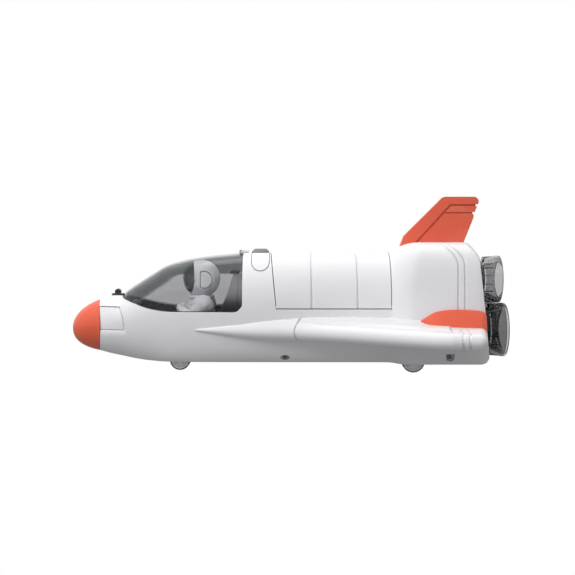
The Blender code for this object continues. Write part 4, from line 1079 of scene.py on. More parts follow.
def make_seat():
    floor = TUB_FLOOR + TUB_WALL + SEAM
    back = [(114, floor), (131.6, floor), (131.6, 50), (133.4, 74.4)] + arc((131.4, 74.6), 2.0, 0, 180, 8)
    back += [(128.2, 73.4), (126.1, 65.4), (122.9, 56.6), (119.6, 49), (116.6, 40)]
    seat = side_prism("pilot_seat", back, -15, 15, 1.0, 4)
    cushion = [(90, floor), (114.4, floor), (117, 34), (104, 33.6), (92, 33), (90, 31)]
    wings = []
    for side, _ in SIDES:
        rest = [(118, 34), (131.6, 34), (132.6, 70), (129.0, 72), (124.6, 60), (119.6, 48)]
        wings.append(side_prism("wing", rest, *sorted((side * 12.2, side * 14.6)), 0.8, 3))
    channels = [box("channel", (92.5, 113), (y, y + 0.8), (33.3, 34.0), 0.3) for y in (-9.4, -0.4, 8.6)]
    frame_back = box("seat_frame", (131.9, 136.0), (-14.4, 14.4), (27.0, 76.0), 1.0, 4)
    dress(frame_back, "seat")
    # A black strip along the seat's top edge.
    dash = box("seat_top_black_strip", (126.5, 133.2), (-15.6, 15.6), (75.4, 77.2), 0.5, 3)
    dress(dash, "black")
    parts = [side_prism("cushion", cushion, -14.7, 14.7, 1.0, 4)] + wings + channels
    dress(gather(seat, *parts), "seat", nodes=("seat",))


def make_console():
    floor = TUB_FLOOR + TUB_WALL + SEAM
    front = TUB_FRONT + TUB_WALL + 1.2
    dash = side_prism("control_console", [(front, floor), (66, floor), (66, 38), (61, 46), (53, 46)], -17, 17,
                      0.9, 3)
    screens, buttons = [], []
    slope = Matrix.Rotation(math.atan2(5, 8), 4, "Y")
    for y in (-11, 0, 11):
        bm = bmesh.new()
        bmesh.ops.create_cube(bm, size=1.0)
        bmesh.ops.scale(bm, verts=bm.verts, vec=(0.8 * MM, 8.2 * MM, 5.4 * MM))
        bmesh.ops.bevel(bm, geom=bm.edges[:], offset=0.35 * MM, segments=3, profile=0.5, affect="EDGES",
                        material=-1)
        tilt = Matrix.Translation(at(63.7, y, 42.2)) @ slope.inverted()
        bmesh.ops.transform(bm, verts=bm.verts, matrix=tilt)
        screens.append(raw("screen", bm))
    for i in range(-3, 4):
        buttons.append(rod("button", 0.9, at(57.5, i * 4.4, 0), "Z", 45.8, 46.9, 20, 0.25))
    dress(gather(dash, *buttons), "charcoal", nodes=("instrument_console",))
    dress(gather(*screens), "grey").name = "console_panels"
    stick = limb("flight_stick", ((82, 0, floor, 2.2), (82, 0, 29, 1.2), (85, 0, 43.5, 1.2)), 20, 4)
    grip = limb("grip", ((85.2, 0, 43.7, 1.5), (85.6, 0, 46.1, 1.8), (86.0, 0, 48.5, 1.7)), 20, 4)
    boot = turned("boot", [(0, 0), (4.2, 0), (3.8, 0.8), (3.1, 1.2), (3.0, 1.9), (2.3, 2.3), (2.2, 3.1),
                           (1.4, 3.5), (0, 3.6)], at(82, 0, floor - 0.25), "Z", 40)
    dress(gather(stick, grip, boot), "black", nodes=("control_stick",))


class SHUTTLE_OT_cockpit(bpy.types.Operator):
    """Builds the cockpit liner, the seat, the console and the stick"""

    bl_idname = "shuttle.cockpit"
    bl_label = "Cockpit"

    def execute(self, context):
        make_tub()
        make_seat()
        make_console()
        return {"FINISHED"}


# Astronaut


def make_torso():
    rows = ((34.8, 9.0, 9.5), (37.5, 11.0, 11.6), (41, 11.4, 12.2), (45, 11.2, 12.2), (48, 11.0, 12.0),
            (51, 10.4, 11.6), (53.5, 9.4, 10.8), (55.4, 8.2, 9.6), (56.6, 7.2, 8.2))
    long_curve = Curve(*[(z, a) for z, a, _ in rows])
    wide_curve = Curve(*[(z, b) for z, _, b in rows])
    rings = []
    for i in range(45):
        z = 34.8 + (56.6 - 34.8) * i / 44
        fold = 0.22 * math.sin(z * 2.1) * smooth_step(35, 38, z) * (1 - smooth_step(51, 54, z))
        rings.append([at(102.6 + (long_curve(z) + fold) * math.cos(t), (wide_curve(z) + fold) * math.sin(t), z)
                      for t in (math.tau * k / 56 for k in range(56))])
    torso = tube("astronaut_torso", rings)
    parts = []
    for side, _ in SIDES:
        parts.append(limb("leg", ((100, side * 5.5, 41, 5.0), (94, side * 6.5, 40.5, 5.3),
                                  (82, side * 7.5, 38.5, 5.0), (77.5, side * 7.8, 36, 4.8),
                                  (76, side * 8, 31, 4.6), (75.8, side * 8, 28.6, 4.0)), 28))
        parts.append(limb("boot", ((79.6, side * 8, 28.6, 2.6), (75.5, side * 8, 28.7, 2.7),
                                   (72.0, side * 8, 28.3, 2.3)), 28))
        parts.append(turned("knee", [(3.4, -1.1), (4.9, -1.0), (5.2, 0), (4.9, 1.0), (3.4, 1.1)],
                            at(77.3, side * 7.8, 33.6), "Z", 36))
    pack = [(-6.5, 41.5), (6.5, 41.5), (6.5, 50), (-6.5, 50)]
    chest = prism("chest_pack", pack, lambda y, z, s: at(s, y, z), 90.4, 94.5, 0.9, 3)
    parts.append(chest)
    for y in (-3.4, 0.0, 3.4):
        parts.append(rod("dial", 1.1, at(0, y, 47.2), "X", 89.6, 91, 20, 0.25))
    return dress(gather(torso, *parts), "suit", nodes=("astronaut_body",), sharp=50)


def make_arm(side, label):
    joints = ((104.2, side * 14.2, 52.0, 3.6), (103.8, side * 16.4, 51.2, 5.4), (102.5, side * 18.2, 47.5, 6.1),
              (98.5, side * 18.0, 43.0, 5.0), (93.5, side * 16.8, 43.8, 3.9), (89.4, side * 13.8, 46.2, 3.2))
    arm = limb("astronaut_sleeve_" + label, joints, 32, 8)
    glove = limb("glove", ((89.0, side * 13.5, 46.6, 2.8), (87.0, side * 10.6, 48.0, 2.9),
                           (86.2, side * 7.6, 48.4, 2.6)), 28)
    cuff = limb("cuff", ((90.2, side * 14.4, 45.6, 3.6), (88.9, side * 13.4, 46.7, 3.6)), 28, 4, 3)
    fingers = [limb("finger", ((86.4 + dx, side * 7.2, z, 0.9), (84.6 + dx, side * 5.2, z, 0.95),
                               (84.8 + dx, side * 3.6, z, 0.8)), 14, 4, 3)
               for dx, z in ((0.0, 49.8), (-0.3, 48.3), (-0.2, 46.8))]
    pad = [(0, 13.0), (6.8, 13.2), (7.9, 14.4), (8.2, 16.5), (8.1, 19.0), (7.5, 20.6), (6.7, 21.2), (6.5, 21.0),
           (6.2, 21.6), (5.0, 22.6), (4.8, 22.4), (4.5, 22.9), (2.6, 23.6), (0, 23.8)]
    shoulder = turned("shoulder", [(r, side * d) for r, d in pad], at(105.2, 0, 50.8), "Y", 56)
    return dress(gather(arm, glove, cuff, shoulder, *fingers), "suit", nodes=("astronaut_arm_" + label,),
                 sharp=50)


def make_helmet():
    station, height = HEAD
    face = Curve((45, 93.0), (59, 95.4), (65, 98.0), (71, 98.8), (78, 98.3), (85, 97.0), (100, 94.0))
    centre = at(station, 0, height)
    helmet = ball("astronaut_helmet_shell", centre, (HEAD_RADIUS,) * 3, 96, 64)
    cut(helmet, ball("hollow", centre, (VISOR_RADIUS - 1.4,) * 3, 64, 40))
    cut(helmet, side_prism("face", [(60, 45)] + [(face(z), z) for z in range(45, 100, 2)] + [(60, 98)], -30, 30))
    cut(helmet, box("neck", (60, 140), (-30, 30), (20, 57.4)))
    parts = []
    for side, _ in SIDES:
        middle, radius = (station + 3.0, height - 0.7), 6.2
        ear_seat = arc(middle, radius + 0.9, -116, 116, 36)
        cut(helmet, side_prism("ear_seat", ear_seat, *sorted((side * 11.0, side * 20))))
        rim = [(6.8, 9.8), (8.1, 9.8), (8.1, 12.9), (7.7, 13.5), (7.2, 13.5), (6.8, 13.1)]
        parts.append(turned("ear_ring", [(r, side * d) for r, d in rim], at(middle[0], 0, middle[1]), "Y", 64))
        cap = arc(middle, radius, -114, 114, 36)
        parts.append(side_prism("ear_cap", cap, *sorted((side * 10.6, side * 16.2)), 0.7, 3))
        for dz in (2.6, -3.0):
            parts.append(box("slot", (station - 4.9, station - 3.9), sorted((side * 13.4, side * 15.0)),
                             (height - 2.6 + dz, height - 1.2 + dz), 0.2))
    neck = turned("neck_ring", [(7.0, 55.6), (9.6, 55.6), (10.5, 56.2), (10.5, 57.4), (9.8, 58.0), (7.0, 58.0)],
                  at(102.8, 0, 0), "Z", 72)
    parts.append(neck)
    dress(gather(helmet, *parts), "helmet", nodes=("astronaut_helmet",))
    visor = ball("astronaut_dark_visor", centre, (VISOR_RADIUS,) * 3, 96, 64)
    keep_inside(visor, side_prism("face", [(60, 57.4)] + [(face(z) + 0.3, z) for z in range(58, 100, 2)]
                                  + [(60, 98)], -30, 30))
    dress(visor, "visor", nodes=("astronaut_visor",))


class SHUTTLE_OT_astronaut(bpy.types.Operator):
    """Builds the seated figure: suit, sleeves, helmet and visor"""

    bl_idname = "shuttle.astronaut"
    bl_label = "Astronaut"

    def execute(self, context):
        make_torso()
        for side, label in SIDES:
            make_arm(side, label)
        make_helmet()
        return {"FINISHED"}


# Cargo bay


class SHUTTLE_OT_cargo_bay(bpy.types.Operator):
    """Builds the two grooved cargo doors and the bay's ribs"""

    bl_idname = "shuttle.cargo_bay"
    bl_label = "Cargo Bay"

    def execute(self, context):
        wall = sizes().door_wall / MM
        for side, label in SIDES:
            low, high = (0.2, 60) if side > 0 else (-60, -0.2)
            door = hull("cargo_hatch_" + label, 0.0, 156, 253, DOOR_GROOVES)
            keep_inside(door, side_prism("region", door_region(0.25), low, high))
            cut(door, hull("hollow", -wall, 145, 258))
            hinge = at(0, side * DOOR_AXIS[0], DOOR_AXIS[1])
            for start, end in ((DOOR_FRONT_LOW - 3, DOOR_FRONT_LOW + 3), (DOOR_REAR - 3, DOOR_REAR + 3)):
                join(door, rod("pin", 0.8, hinge, "X", start, end, 20))
            dress(door, "white", "door_" + label, ("cargo_door_" + label,))
        ribs = [box("bay_ribs", (s, s + 1.6), (-33.9, 33.9), (29.9, 31.2), 0.4) for s in range(180, 246, 13)]
        for side, _ in SIDES:
            for s in range(180, 246, 13):
                ribs.append(box("post", (s, s + 1.6), sorted((side * 32.9, side * 34.2)), (30.6, 48.4), 0.4))
            ribs.append(box("sill", (169, 245.6), sorted((side * 32.7, side * 34.3)), (46.6, 48.6), 0.5))
        dress(gather(*ribs), "white")
        return {"FINISHED"}


# Wings


def wing_top(station, across):
    """Height of the wing's upper face: a fillet at the root, then nearly flat."""
    root, outer = WING_TOP_ROOT(station), WING_TOP_OUTER(station)
    start = HALF_WIDTH(station)
    share = min(max((WING_FILLET_END - across) / (WING_FILLET_END - start), 0.0), 1.0)
    return outer + (root - outer) * share ** (3 + smooth_step(250, 262, station))


def wing_rim():
    """Plan of one wing's edge, from its strake round the tip to the trailing edge inside the hull."""
    leading = [(s, WING_LEADING(s)) for s in [101 + 3.1 * i for i in range(61)]]
    tip = arc((WING_TIP_REAR - 1.0, HALF_SPAN - TIP_ROUND), TIP_ROUND, 90, 15, 10)
    return [Vector(point) for point in leading + tip + list(WING_TRAILING)]


def spread_evenly(points, count):
    """Points at equal steps along a polyline."""
    lengths = [(b - a).length for a, b in zip(points, points[1:])]
    step, spots, i, passed = sum(lengths) / count, [], 0, 0.0
    for k in range(count + 1):
        while i < len(lengths) - 1 and passed + lengths[i] < k * step:
            passed += lengths[i]
            i += 1
        spots.append(points[i].lerp(points[i + 1], min((k * step - passed) / lengths[i], 1.0)))
    return spots


def distance_to(point, points):
    """Distance from a plan point to a polyline."""
    best = 1e9
    for a, b in zip(points, points[1:]):
        run = b - a
        t = min(max((point - a).dot(run) / run.length_squared, 0.0), 1.0)
        best = min(best, (point - a - run * t).length)
    return best


def make_wing_form(name):
    """One skin that wraps from the underside round the edge to the upper face, closed inside the hull."""
    rim = wing_rim()
    spots = spread_evenly(rim, WING_COLUMNS)

    def shape(u, v):
        spot = spots[round(u * WING_COLUMNS)]
        side, depth = (1 if v > 0.5 else -1), abs(2 * v - 1)
        inner = Vector((spot.x, WING_INNER))
        place = spot.lerp(inner, depth ** 2.2)
        top, bottom = wing_top(*place), WING_LOW(place.x)
        rounding = min(max((top - bottom) / 2, 0.6), WING_EDGE)
        inset = min(distance_to(place, rim) / rounding, 1.0)
        bulge = math.sqrt(max(1 - (1 - inset) ** 2, 0.0)) if depth < 1 else 0.0
        return at(*place, (top + bottom) / 2 + side * bulge * (top - bottom) / 2)

    bm = bent_grid(shape, WING_COLUMNS, WING_ROWS)
    bmesh.ops.remove_doubles(bm, verts=bm.verts, dist=1e-6)
    bmesh.ops.holes_fill(bm, edges=[e for e in bm.edges if e.is_boundary], sides=0)
    return raw(name, bm)


def ribbon(path, width, low=0.0, top=60.0):
    """An upright cutter along a plan path."""
    points = [Vector(point) for point in path]
    last = len(points) - 1

    def shape(u, v, w):
        i = round(v * last)
        ahead = (points[min(i + 1, last)] - points[max(i - 1, 0)]).normalized()
        return at(*(points[i] + Vector((-ahead.y, ahead.x)) * width * (u - 0.5)), top if w > 0.5 else low)
    return slab("ribbon", shape, 1, last)


def straight(start, end, count=24):
    return [Vector(start).lerp(Vector(end), i / count) for i in range(count + 1)]


def copy_of(source, name):
    made = bpy.data.objects.new(name, source.data.copy())
    bpy.context.scene.collection.objects.link(made)
    return made


def raise_panel(form, inset, rise):
    """Lifts the middle of the wing's upper face in one low step, inside a line along the leading edge."""
    line = []
    for i in range(60):
        s = 174 + 2.0 * i
        slope = Vector((1.0, WING_LEADING(s + 0.5) - WING_LEADING(s - 0.5))).normalized()
        spot = Vector((s, WING_LEADING(s))) + Vector((slope.y, -slope.x)) * inset
        if spot.x < 285:
            line.append(spot)
    corner, heel = Vector((288.6, line[-1].y + 1.0)), Vector((295.6, 36.0))
    raised = copy_of(form, "raised")
    raised.data.transform(Matrix.Translation((0, 0, rise * MM)))
    keep_inside(raised, plan_prism("panel", line + [corner, heel, (line[0].x, 36.0)], 33.5, 60))
    return raised


def wing_grooves(form):
    """What the wing's cross grooves take away: upright ribbons, less a copy of the wing drawn in by their depth."""
    sunk = copy_of(form, "sunk")
    moves = [v.normal * sizes().groove_depth for v in sunk.data.vertices]
    for v, move in zip(sunk.data.vertices, moves):
        v.co -= move
    width = sizes().groove_width / MM
    return cut(gather(*[ribbon(straight(start, end), width) for start, end in EDGE_GROOVES]), sunk)


def make_wings():
    wing = make_wing_form("delta_wing_far")
    grooves = wing_grooves(wing)
    for panel in [raise_panel(wing, inset, rise) for inset, rise in PANEL_STEPS]:
        join(wing, panel)
    cut(wing, grooves)
    cut(wing, hull("hull_room", -0.2, 90, REAR_FACE))
    mirrored = copy_of(wing, "delta_wing_near")
    mirrored.data.transform(Matrix.Scale(-1, 4, (0, 1, 0)))
    mirrored.data.flip_normals()
    for piece, label in ((wing, "far"), (mirrored, "near")):
        dress(piece, "white", nodes=("wing_" + label,), sharp=38)


FAIRING = ((272.0, 40.6, 47.6), (275, 42.4, 49.3), (279.0, 45.0, 51.4), (284.3, 47.7, 53.2),
           (293, 49.2, 54.2), (301.6, 49.5, 54.6), (310.3, 49.2, 54.8), (315.0, 48.8, 54.8),
           (317.8, 48.4, 54.7), (319.6, 48.0, 54.5), (321.0, 47.4, 54.2), (322.2, 45.6, 53.4))
FAIRING_FOOT = Curve((314.0, 37.2), (315.0, 36.6), (317.8, 34.6), (319.6, 32.6), (321.0, 31.0), (322.2, 31.0))


def make_fairing(side, label):
    tops = Curve(*[(s, top) for s, top, _ in FAIRING])
    feet = Curve(*[(s, foot) for s, _, foot in FAIRING])
    first, last = FAIRING[0][0], FAIRING[-1][0]
    rings, count = [], 60
    for i in range(count + 1):
        s = first + (last - first) * i / count
        top, foot = tops(s), feet(s)
        drop = FAIRING_FOOT(s) if s > 314 else 60.0
        low = min(wing_top(s, foot) - 1.5, drop)
        crest = 46.6 + (foot - 46.6) * 0.14
        shoulder = foot - (foot - crest) * 0.45
        outer = Curve((0, low), (1, low + (top - low) * 0.55), (2, top - 0.6), (3, top))
        spread = Curve((0, foot), (1, shoulder), (2, crest + 0.5), (3, crest - 0.6))
        ring = [(42, low), (46.5, low)]
        ring += [(spread(3 * k / 14), outer(3 * k / 14)) for k in range(15)] + [(42, top + 0.1)]
        rings.append([at(s, side * y, z) for y, z in ring])
    fairing = tube("root_fairing_" + label, rings)
    return dress(fairing, "orange", nodes=("wing_fairing_" + label,), sharp=45)


class SHUTTLE_OT_wings(bpy.types.Operator):
    """Builds the two grooved delta wings and the orange fairings on their roots"""

    bl_idname = "shuttle.wings"
    bl_label = "Wings"

    def execute(self, context):
        make_wings()
        for side, label in SIDES:
            make_fairing(side, label)
        return {"FINISHED"}


# Tail fin
FIN_FRAME = ((258.0, 93.0), (261.0, 96.6), (264.2, 105.0), (294.0, 134.8))
FIN_TOP = 136.3
FIN_REAR = ((322.9, 129.6), (320.9, 124.6), (319.8, 122.2), (319.8, 119.8), (311.6, 99.0), (311.0, 93.0))
FIN_HALF_LOW, FIN_HALF_HIGH = 3.2, 2.2
FIN_CREASES = (((296.2, 124.0), (295.2, 122.9), (330, 122.9), (330, 124.0)),
               ((300.9, 130.2), (300.9, 129.1), (330, 129.1), (330, 130.2)),
               ((270.0, 96.6), (271.3, 95.8), (302.0, 129.2), (300.9, 130.2)))
FIN_NOTCHES = (((319.0, 122.5), (330, 122.5), (330, 124.2), (319.0, 124.2)),
               ((321.4, 128.8), (330, 128.8), (330, 130.4), (321.4, 130.4)))
FIN_PANEL = ((276.6, 102.6), (301.0, 129.4), (330.0, 129.4), (330, 90), (264.0, 90))


class SHUTTLE_OT_tail_fin(bpy.types.Operator):
    """Builds the tail fin with its raised frame and its stepped rudder"""

    bl_idname = "shuttle.tail_fin"
    bl_label = "Tail Fin"

    def execute(self, context):
        outline = list(FIN_FRAME) + arc((297.5, 131.3), 5.0, 135, 90, 8) + arc((319.8, 132.4), 3.9, 90, -30, 14)
        outline += list(FIN_REAR)
        fin = side_prism("rudder_fin", outline, -FIN_HALF_LOW, FIN_HALF_LOW, 1.0, 5)
        for side, _ in SIDES:
            ends = sorted((side * (FIN_HALF_LOW - 0.7), side * 8))
            cut(fin, side_prism("panel", FIN_PANEL, *ends))
            ends = sorted((side * (FIN_HALF_LOW - 1.8), side * 8))
            for crease in FIN_CREASES:
                cut(fin, side_prism("crease", crease, *ends))
        for notch in FIN_NOTCHES:
            cut(fin, side_prism("notch", notch, -8, 8))
        low = 95.0
        for v in fin.data.vertices:
            share = min(max((v.co.z / MM - low) / (FIN_TOP - low), 0), 1)
            v.co.y *= 1 + share * (FIN_HALF_HIGH / FIN_HALF_LOW - 1)
        dress(fin, "orange", nodes=("tail_fin",))
        return {"FINISHED"}


# Engines
VANE_END = 15.0
NOZZLES = (("top", 0.0, 70.6, 18.9), ("near", -23.0, 32.4, 20.9), ("far", 23.0, 32.4, 20.9))


def make_nozzle(label, across, height, rim):
    base = PLATE_FRONT + 2.0 + SEAM
    depth, wall, flare = LENGTH - base, 1.5, 8.2
    neck = rim - 3.9
    centre = at(base, across, height)
    upper = label == "top"
    outer = [(0, 0), (neck, 0), (neck, flare), (neck + 0.4, flare + 0.3), (rim - 1.4, flare + 0.9),
             (rim - 0.9, flare + 1.5), (rim - 0.2, depth - 4.2), (rim, depth - 3.4)]
    lip = [(rim, depth - 0.9), (rim - 0.3, depth - 0.3), (rim - 0.9, depth), (rim - wall, depth),
           (rim - wall - 0.3, depth - 0.6)]
    inner = [(rim - wall - 0.6, depth - 4.6), (neck - wall, flare + 1.4), (neck - wall, wall), (0, wall)]
    if upper:
        outer += lip
    else:
        joint = depth - 2.2
        outer += [(rim, joint), (rim - wall - 0.4, joint)]
        # Painted highlight: on the lower nozzles the lip is a separate ring in the lighter smoke, so a pale band
        # runs round each mouth.
        ring = turned("engine_lip_painted_highlight_" + label, lip + [(rim - wall - 0.4, joint + 0.02), (rim, joint + 0.02)],
                      centre, "X", 128)
        dress(ring, "smoke", sharp=40)
    # Painted shade: the lower bells take a darker tint of the same smoked plastic than the top one.
    bell = turned("engine_bell_" + label, outer + inner, centre, "X", 128)
    dress(bell, "smoke" if upper else "shade-painted smoke", nodes=("nozzle_" + label,), sharp=40)
    vanes = []
    inside = neck - wall - 0.4
    for k in range(12):
        turn = Matrix.Rotation(math.tau * (k + 0.5) / 12, 4, "X")
        bm = bmesh.new()
        bmesh.ops.create_cube(bm, size=1.0)
        bmesh.ops.scale(bm, verts=bm.verts, vec=(VANE_END * MM, 0.35 * MM, 0.8 * MM))
        bmesh.ops.translate(bm, verts=bm.verts, vec=((VANE_END / 2 + wall) * MM, 0, (inside - 0.4) * MM))
        bmesh.ops.transform(bm, verts=bm.verts, matrix=Matrix.Translation(centre) @ turn)
        vanes.append(raw("engine_vanes_" + label, bm))
    hoop = [(inside - 4.2, wall + 0.05), (inside, wall + 0.05), (inside, wall + 8.6), (inside - 0.8, wall + 9.0),
            (inside - 1.6, wall + 2.4), (inside - 4.2, wall + 1.2)]
    vanes.append(turned("hoop", hoop, centre, "X", 96))
    # Painted shade: the lower nozzles' vanes and hoop are charcoal where the top nozzle's are grey.
    dress(gather(*vanes), "grey" if upper else "charcoal")
    core = [(0, 0), (6.0, 0), (6.0, 5.2), (5.4, 5.7), (4.2, 6.2), (3.4, 7.6), (3.0, 9.4), (2.5, 11.0),
            (1.6, 11.7), (0, 11.9)]
    piece = turned("engine_core_" + label, core, at(base + 1.8 + SEAM, across, height), "X", 64)
    dress(piece, "charcoal", nodes=("thruster_core_" + label,))


class SHUTTLE_OT_engines(bpy.types.Operator):
    """Builds the three smoked engine bells, their vanes and cores, and the plate behind them"""

    bl_idname = "shuttle.engines"
    bl_label = "Engines"

    def execute(self, context):
        outline = [at(PLATE_FRONT, p.y / MM, p.z / MM) for p in hull_ring(REAR_FACE, -2.65)]
        plate = tube("rear_bulkhead", [outline, [p + Vector((2.0 * MM, 0, 0)) for p in outline]])
        dress(plate, "charcoal", nodes=("engine_plate",))
        for nozzle in NOZZLES:
            make_nozzle(*nozzle)
        return {"FINISHED"}


# Belly
PLATE_TOP = 10.0
PLATE_STOPS = ((66, 13.2), (76, 17.2), (87.3, 21.7), (103, 23), (316, 24))
AXLE_BLOCKS = ((FRONT_WHEEL, 12.6, 4.8, 13.0), (REAR_WHEEL, 27.5, 5.0, 14.0))
BLOCK_HALF, BLOCK_HALF_LOW = 9.6, 7.3


def plate_outline(gap):
    ends = [PLATE_STOPS[0][0] - gap] + [s for s, _ in PLATE_STOPS[1:-1]] + [PLATE_STOPS[-1][0] + gap]
    right = [(end, y + gap) for end, (_, y) in zip(ends, PLATE_STOPS)]
    return right + [(s, -y) for s, y in reversed(right)]


def axle_block(wheel, across, low, high, gap):
    s = wheel["station"]
    half, low_half = BLOCK_HALF + gap, BLOCK_HALF_LOW + gap
    outline = [(s - low_half, low - gap), (s + low_half, low - gap), (s + half, BELLY), (s + half, high + gap),
               (s - half, high + gap), (s - half, BELLY)]
    return side_prism("block", outline, -across - 2 * gap, across + 2 * gap)


def belly_room():
    room = plan_prism("room", plate_outline(SEAM), -5, PLATE_TOP + SEAM)
    for wheel, across, low, high in AXLE_BLOCKS:
        join(room, axle_block(wheel, across, low, high, SEAM))
    return room


def make_belly():
    plate = plan_prism("belly_panel", plate_outline(0.0), BELLY, PLATE_TOP)
    for wheel, across, low, high in AXLE_BLOCKS:
        join(plate, axle_block(wheel, across, low, high, 0.0))
        for side, _ in SIDES:
            cut(plate, wheel_well(wheel, side))
        cut(plate, rod("bore", 1.5, at(wheel["station"], 0, wheel["radius"]), "Y", -60, 60))
    cut(plate, box("cover_room", (195.7, 238.3), (-18.3, 18.3), (0, BELLY + 2.1)))
    cut(plate, box("switch_room", (174, 186), (-4.5, 4.5), (0, BELLY + 1.6)))
    holes = [(72, 0), (112, 17), (112, -17), (160, 17), (160, -17), (246, 18), (246, -18), (308, 18), (308, -18)]
    for s, y in holes:
        cut(plate, rod("countersink", 2.6, at(s, y, 0), "Z", 0, BELLY + 1.8))
    for i in range(9):
        for j in range(-4, 5):
            if (i - 4) ** 2 + j * j <= 17 and abs(i - 4) % 2 == 0:
                cut(plate, rod("slot", 0.55, at(127 + i * 1.6, j * 1.9, 0), "Z", 0, 20, 12))
    dress(plate, "white", nodes=("belly_plate",))
    screws = []
    for s, y in holes + [(233, 0)]:
        head = turned("screw_heads", [(0, 7.9), (1.1, 7.8), (1.9, 8.1), (2.1, 8.6), (2.1, 9.4), (0, 9.4)],
                      at(s, y, 0), "Z", 32)
        if (s, y) == (233, 0):
            head.data.transform(Matrix.Translation((0, 0, -0.75 * MM)))
        for bar in (((-1.4, 1.4), (-0.3, 0.3)), ((-0.3, 0.3), (-1.4, 1.4))):
            cut(head, box("slot", [s + b for b in bar[0]], [y + b for b in bar[1]], (6, 8.5 - 0.2)))
        screws.append(head)
    dress(gather(*screws), "steel")


def make_covers():
    cover = box("battery_lid", (196, 238), (-18, 18), (BELLY, BELLY + 1.8), 0.3, 2)
    cut(cover, rod("countersink", 2.6, at(233, 0, 0), "Z", 0, BELLY + 0.9))
    ridges = [box("ridge", (199.5 + i * 2.2, 200.6 + i * 2.2), (-9, 9), (BELLY + 0.02, BELLY + 0.5), 0.0)
              for i in range(5)]
    for ridge in ridges:
        cut(cover, ridge)
    dress(cover, "white", nodes=("battery_cover",))
    switch = box("slide_switch", (174.3, 180.0), (-4.2, 4.2), (BELLY + 0.35, BELLY + 1.3), 0.25, 2)
    grips = [box("grip", (174.9 + i * 1.1, 175.4 + i * 1.1), (-3.2, 3.2), (BELLY + 0.2, BELLY + 0.6), 0.1, 2)
             for i in range(4)]
    dress(gather(switch, *grips), "black", nodes=("power_switch",))
    for name in ("friction_motor",):
        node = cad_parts[name]
        node.data.materials.clear()
        node.data.materials.append(finish_of("grey"))


def make_shell_screws():
    """Screw heads deep in the hull's side pockets."""
    screws = []
    for station, across, height in ((169.8, 27.4, 11.4), (295.7, 38.8, 12.7)):
        for side, _ in SIDES:
            profile = [(0, side * across), (0.9, side * across), (1.6, side * (across - 0.3)),
                       (1.6, side * (across - 1.0)), (0, side * (across - 1.0))]
            screws.append(turned("side_screws", profile, at(station, 0, height), "Y", 32))
    dress(gather(*screws), "grey")


class SHUTTLE_OT_belly(bpy.types.Operator):
    """Builds the belly plate, its screws, the battery lid and the switch"""

    bl_idname = "shuttle.belly"
    bl_label = "Belly"

    def execute(self, context):
        make_belly()
        make_covers()
        make_shell_screws()
        return {"FINISHED"}


# Wheels


def make_wheel(wheel, side, where):
    label, body = wheel["label"], wheel["label"] + "_wheels"
    centre = at(wheel["station"], 0, wheel["radius"])
    inner, outer = wheel["outer"] - wheel["width"], wheel["outer"]
    rim = wheel["radius"]
    hub = rim - 0.85
    disc = [(0, outer - 0.35), (1.5, outer - 0.35), (1.9, outer - 0.7), (1.9, outer - 1.2),
            (hub - 2.0, outer - 1.2), (hub - 1.6, outer - 0.9), (hub - 1.2, outer - 0.2),
            (hub - 0.3, outer - 0.25), (hub, outer - 0.8), (hub, inner + 0.5), (1.5, inner + 0.5),
            (1.5, outer - 2.4), (0, outer - 2.4)]
    wheel_disc = turned(f"{label}_hub_{where}", [(r, side * d) for r, d in disc], centre, "Y", 72)
    spokes = []
    for k in range(5):
        turn = Matrix.Rotation(math.tau * k / 5, 4, "Y")
        bm = bmesh.new()
        bmesh.ops.create_cube(bm, size=1.0)
        bmesh.ops.scale(bm, verts=bm.verts, vec=(1.1 * MM, 0.8 * MM, (hub - 2.6) * MM))
        bmesh.ops.bevel(bm, geom=bm.edges[:], offset=0.2 * MM, segments=2, profile=0.5, affect="EDGES",
                        material=-1)
        bmesh.ops.translate(bm, verts=bm.verts,
                            vec=(0, side * (outer - 1.1) * MM, (1.3 + (hub - 2.6) / 2) * MM))
        bmesh.ops.transform(bm, verts=bm.verts, matrix=Matrix.Translation(centre) @ turn)
        spokes.append(raw("spoke", bm))
    dress(gather(wheel_disc, *spokes), "wheel", body, (f"{label}_wheel_{where}",))
    tread = [(hub + 0.15, inner), (rim - 0.5, inner), (rim - 0.2, inner + 0.25),
             (rim, inner + 0.9), (rim, outer - 1.3), (rim - 0.2, outer - 0.7), (rim - 0.45, outer - 0.35),
             (hub + 0.15, outer - 0.3)]
    tyre = turned(f"{label}_tread_{where}", [(r, side * d) for r, d in tread], centre, "Y", 96)
    count = sizes().tread_blocks
    cutters = []
    for k in range(count):
        turn = Matrix.Rotation(math.tau * k / count, 4, "Y")
        bm = bmesh.new()
        bmesh.ops.create_cube(bm, size=1.0)
        bmesh.ops.scale(bm, verts=bm.verts, vec=(0.42 * MM, (wheel["width"] - 1.7) * MM, 0.7 * MM))
        bmesh.ops.translate(bm, verts=bm.verts, vec=(0, side * (inner + outer) / 2 * MM, rim * MM))
        bmesh.ops.transform(bm, verts=bm.verts, matrix=Matrix.Translation(centre) @ turn)
        cutters.append(raw("groove", bm))
    cut(tyre, gather(*cutters))
    dress(tyre, "rubber", body, (f"{label}_tyre_{where}",))


class SHUTTLE_OT_wheels(bpy.types.Operator):
    """Builds the axles, hubs and treaded tyres"""

    bl_idname = "shuttle.wheels"
    bl_label = "Wheels"

    def execute(self, context):
        for wheel in (FRONT_WHEEL, REAR_WHEEL):
            for side, where in SIDES:
                make_wheel(wheel, side, where)
            reach = wheel["outer"] - 1.6
            axle = rod(wheel["label"] + "_shaft", 1.25, at(wheel["station"], 0, wheel["radius"]), "Y", -reach,
                       reach, 32, 0.3)
            dress(axle, "steel", wheel["label"] + "_wheels", (wheel["label"] + "_axle",))
        return {"FINISHED"}


# Studio


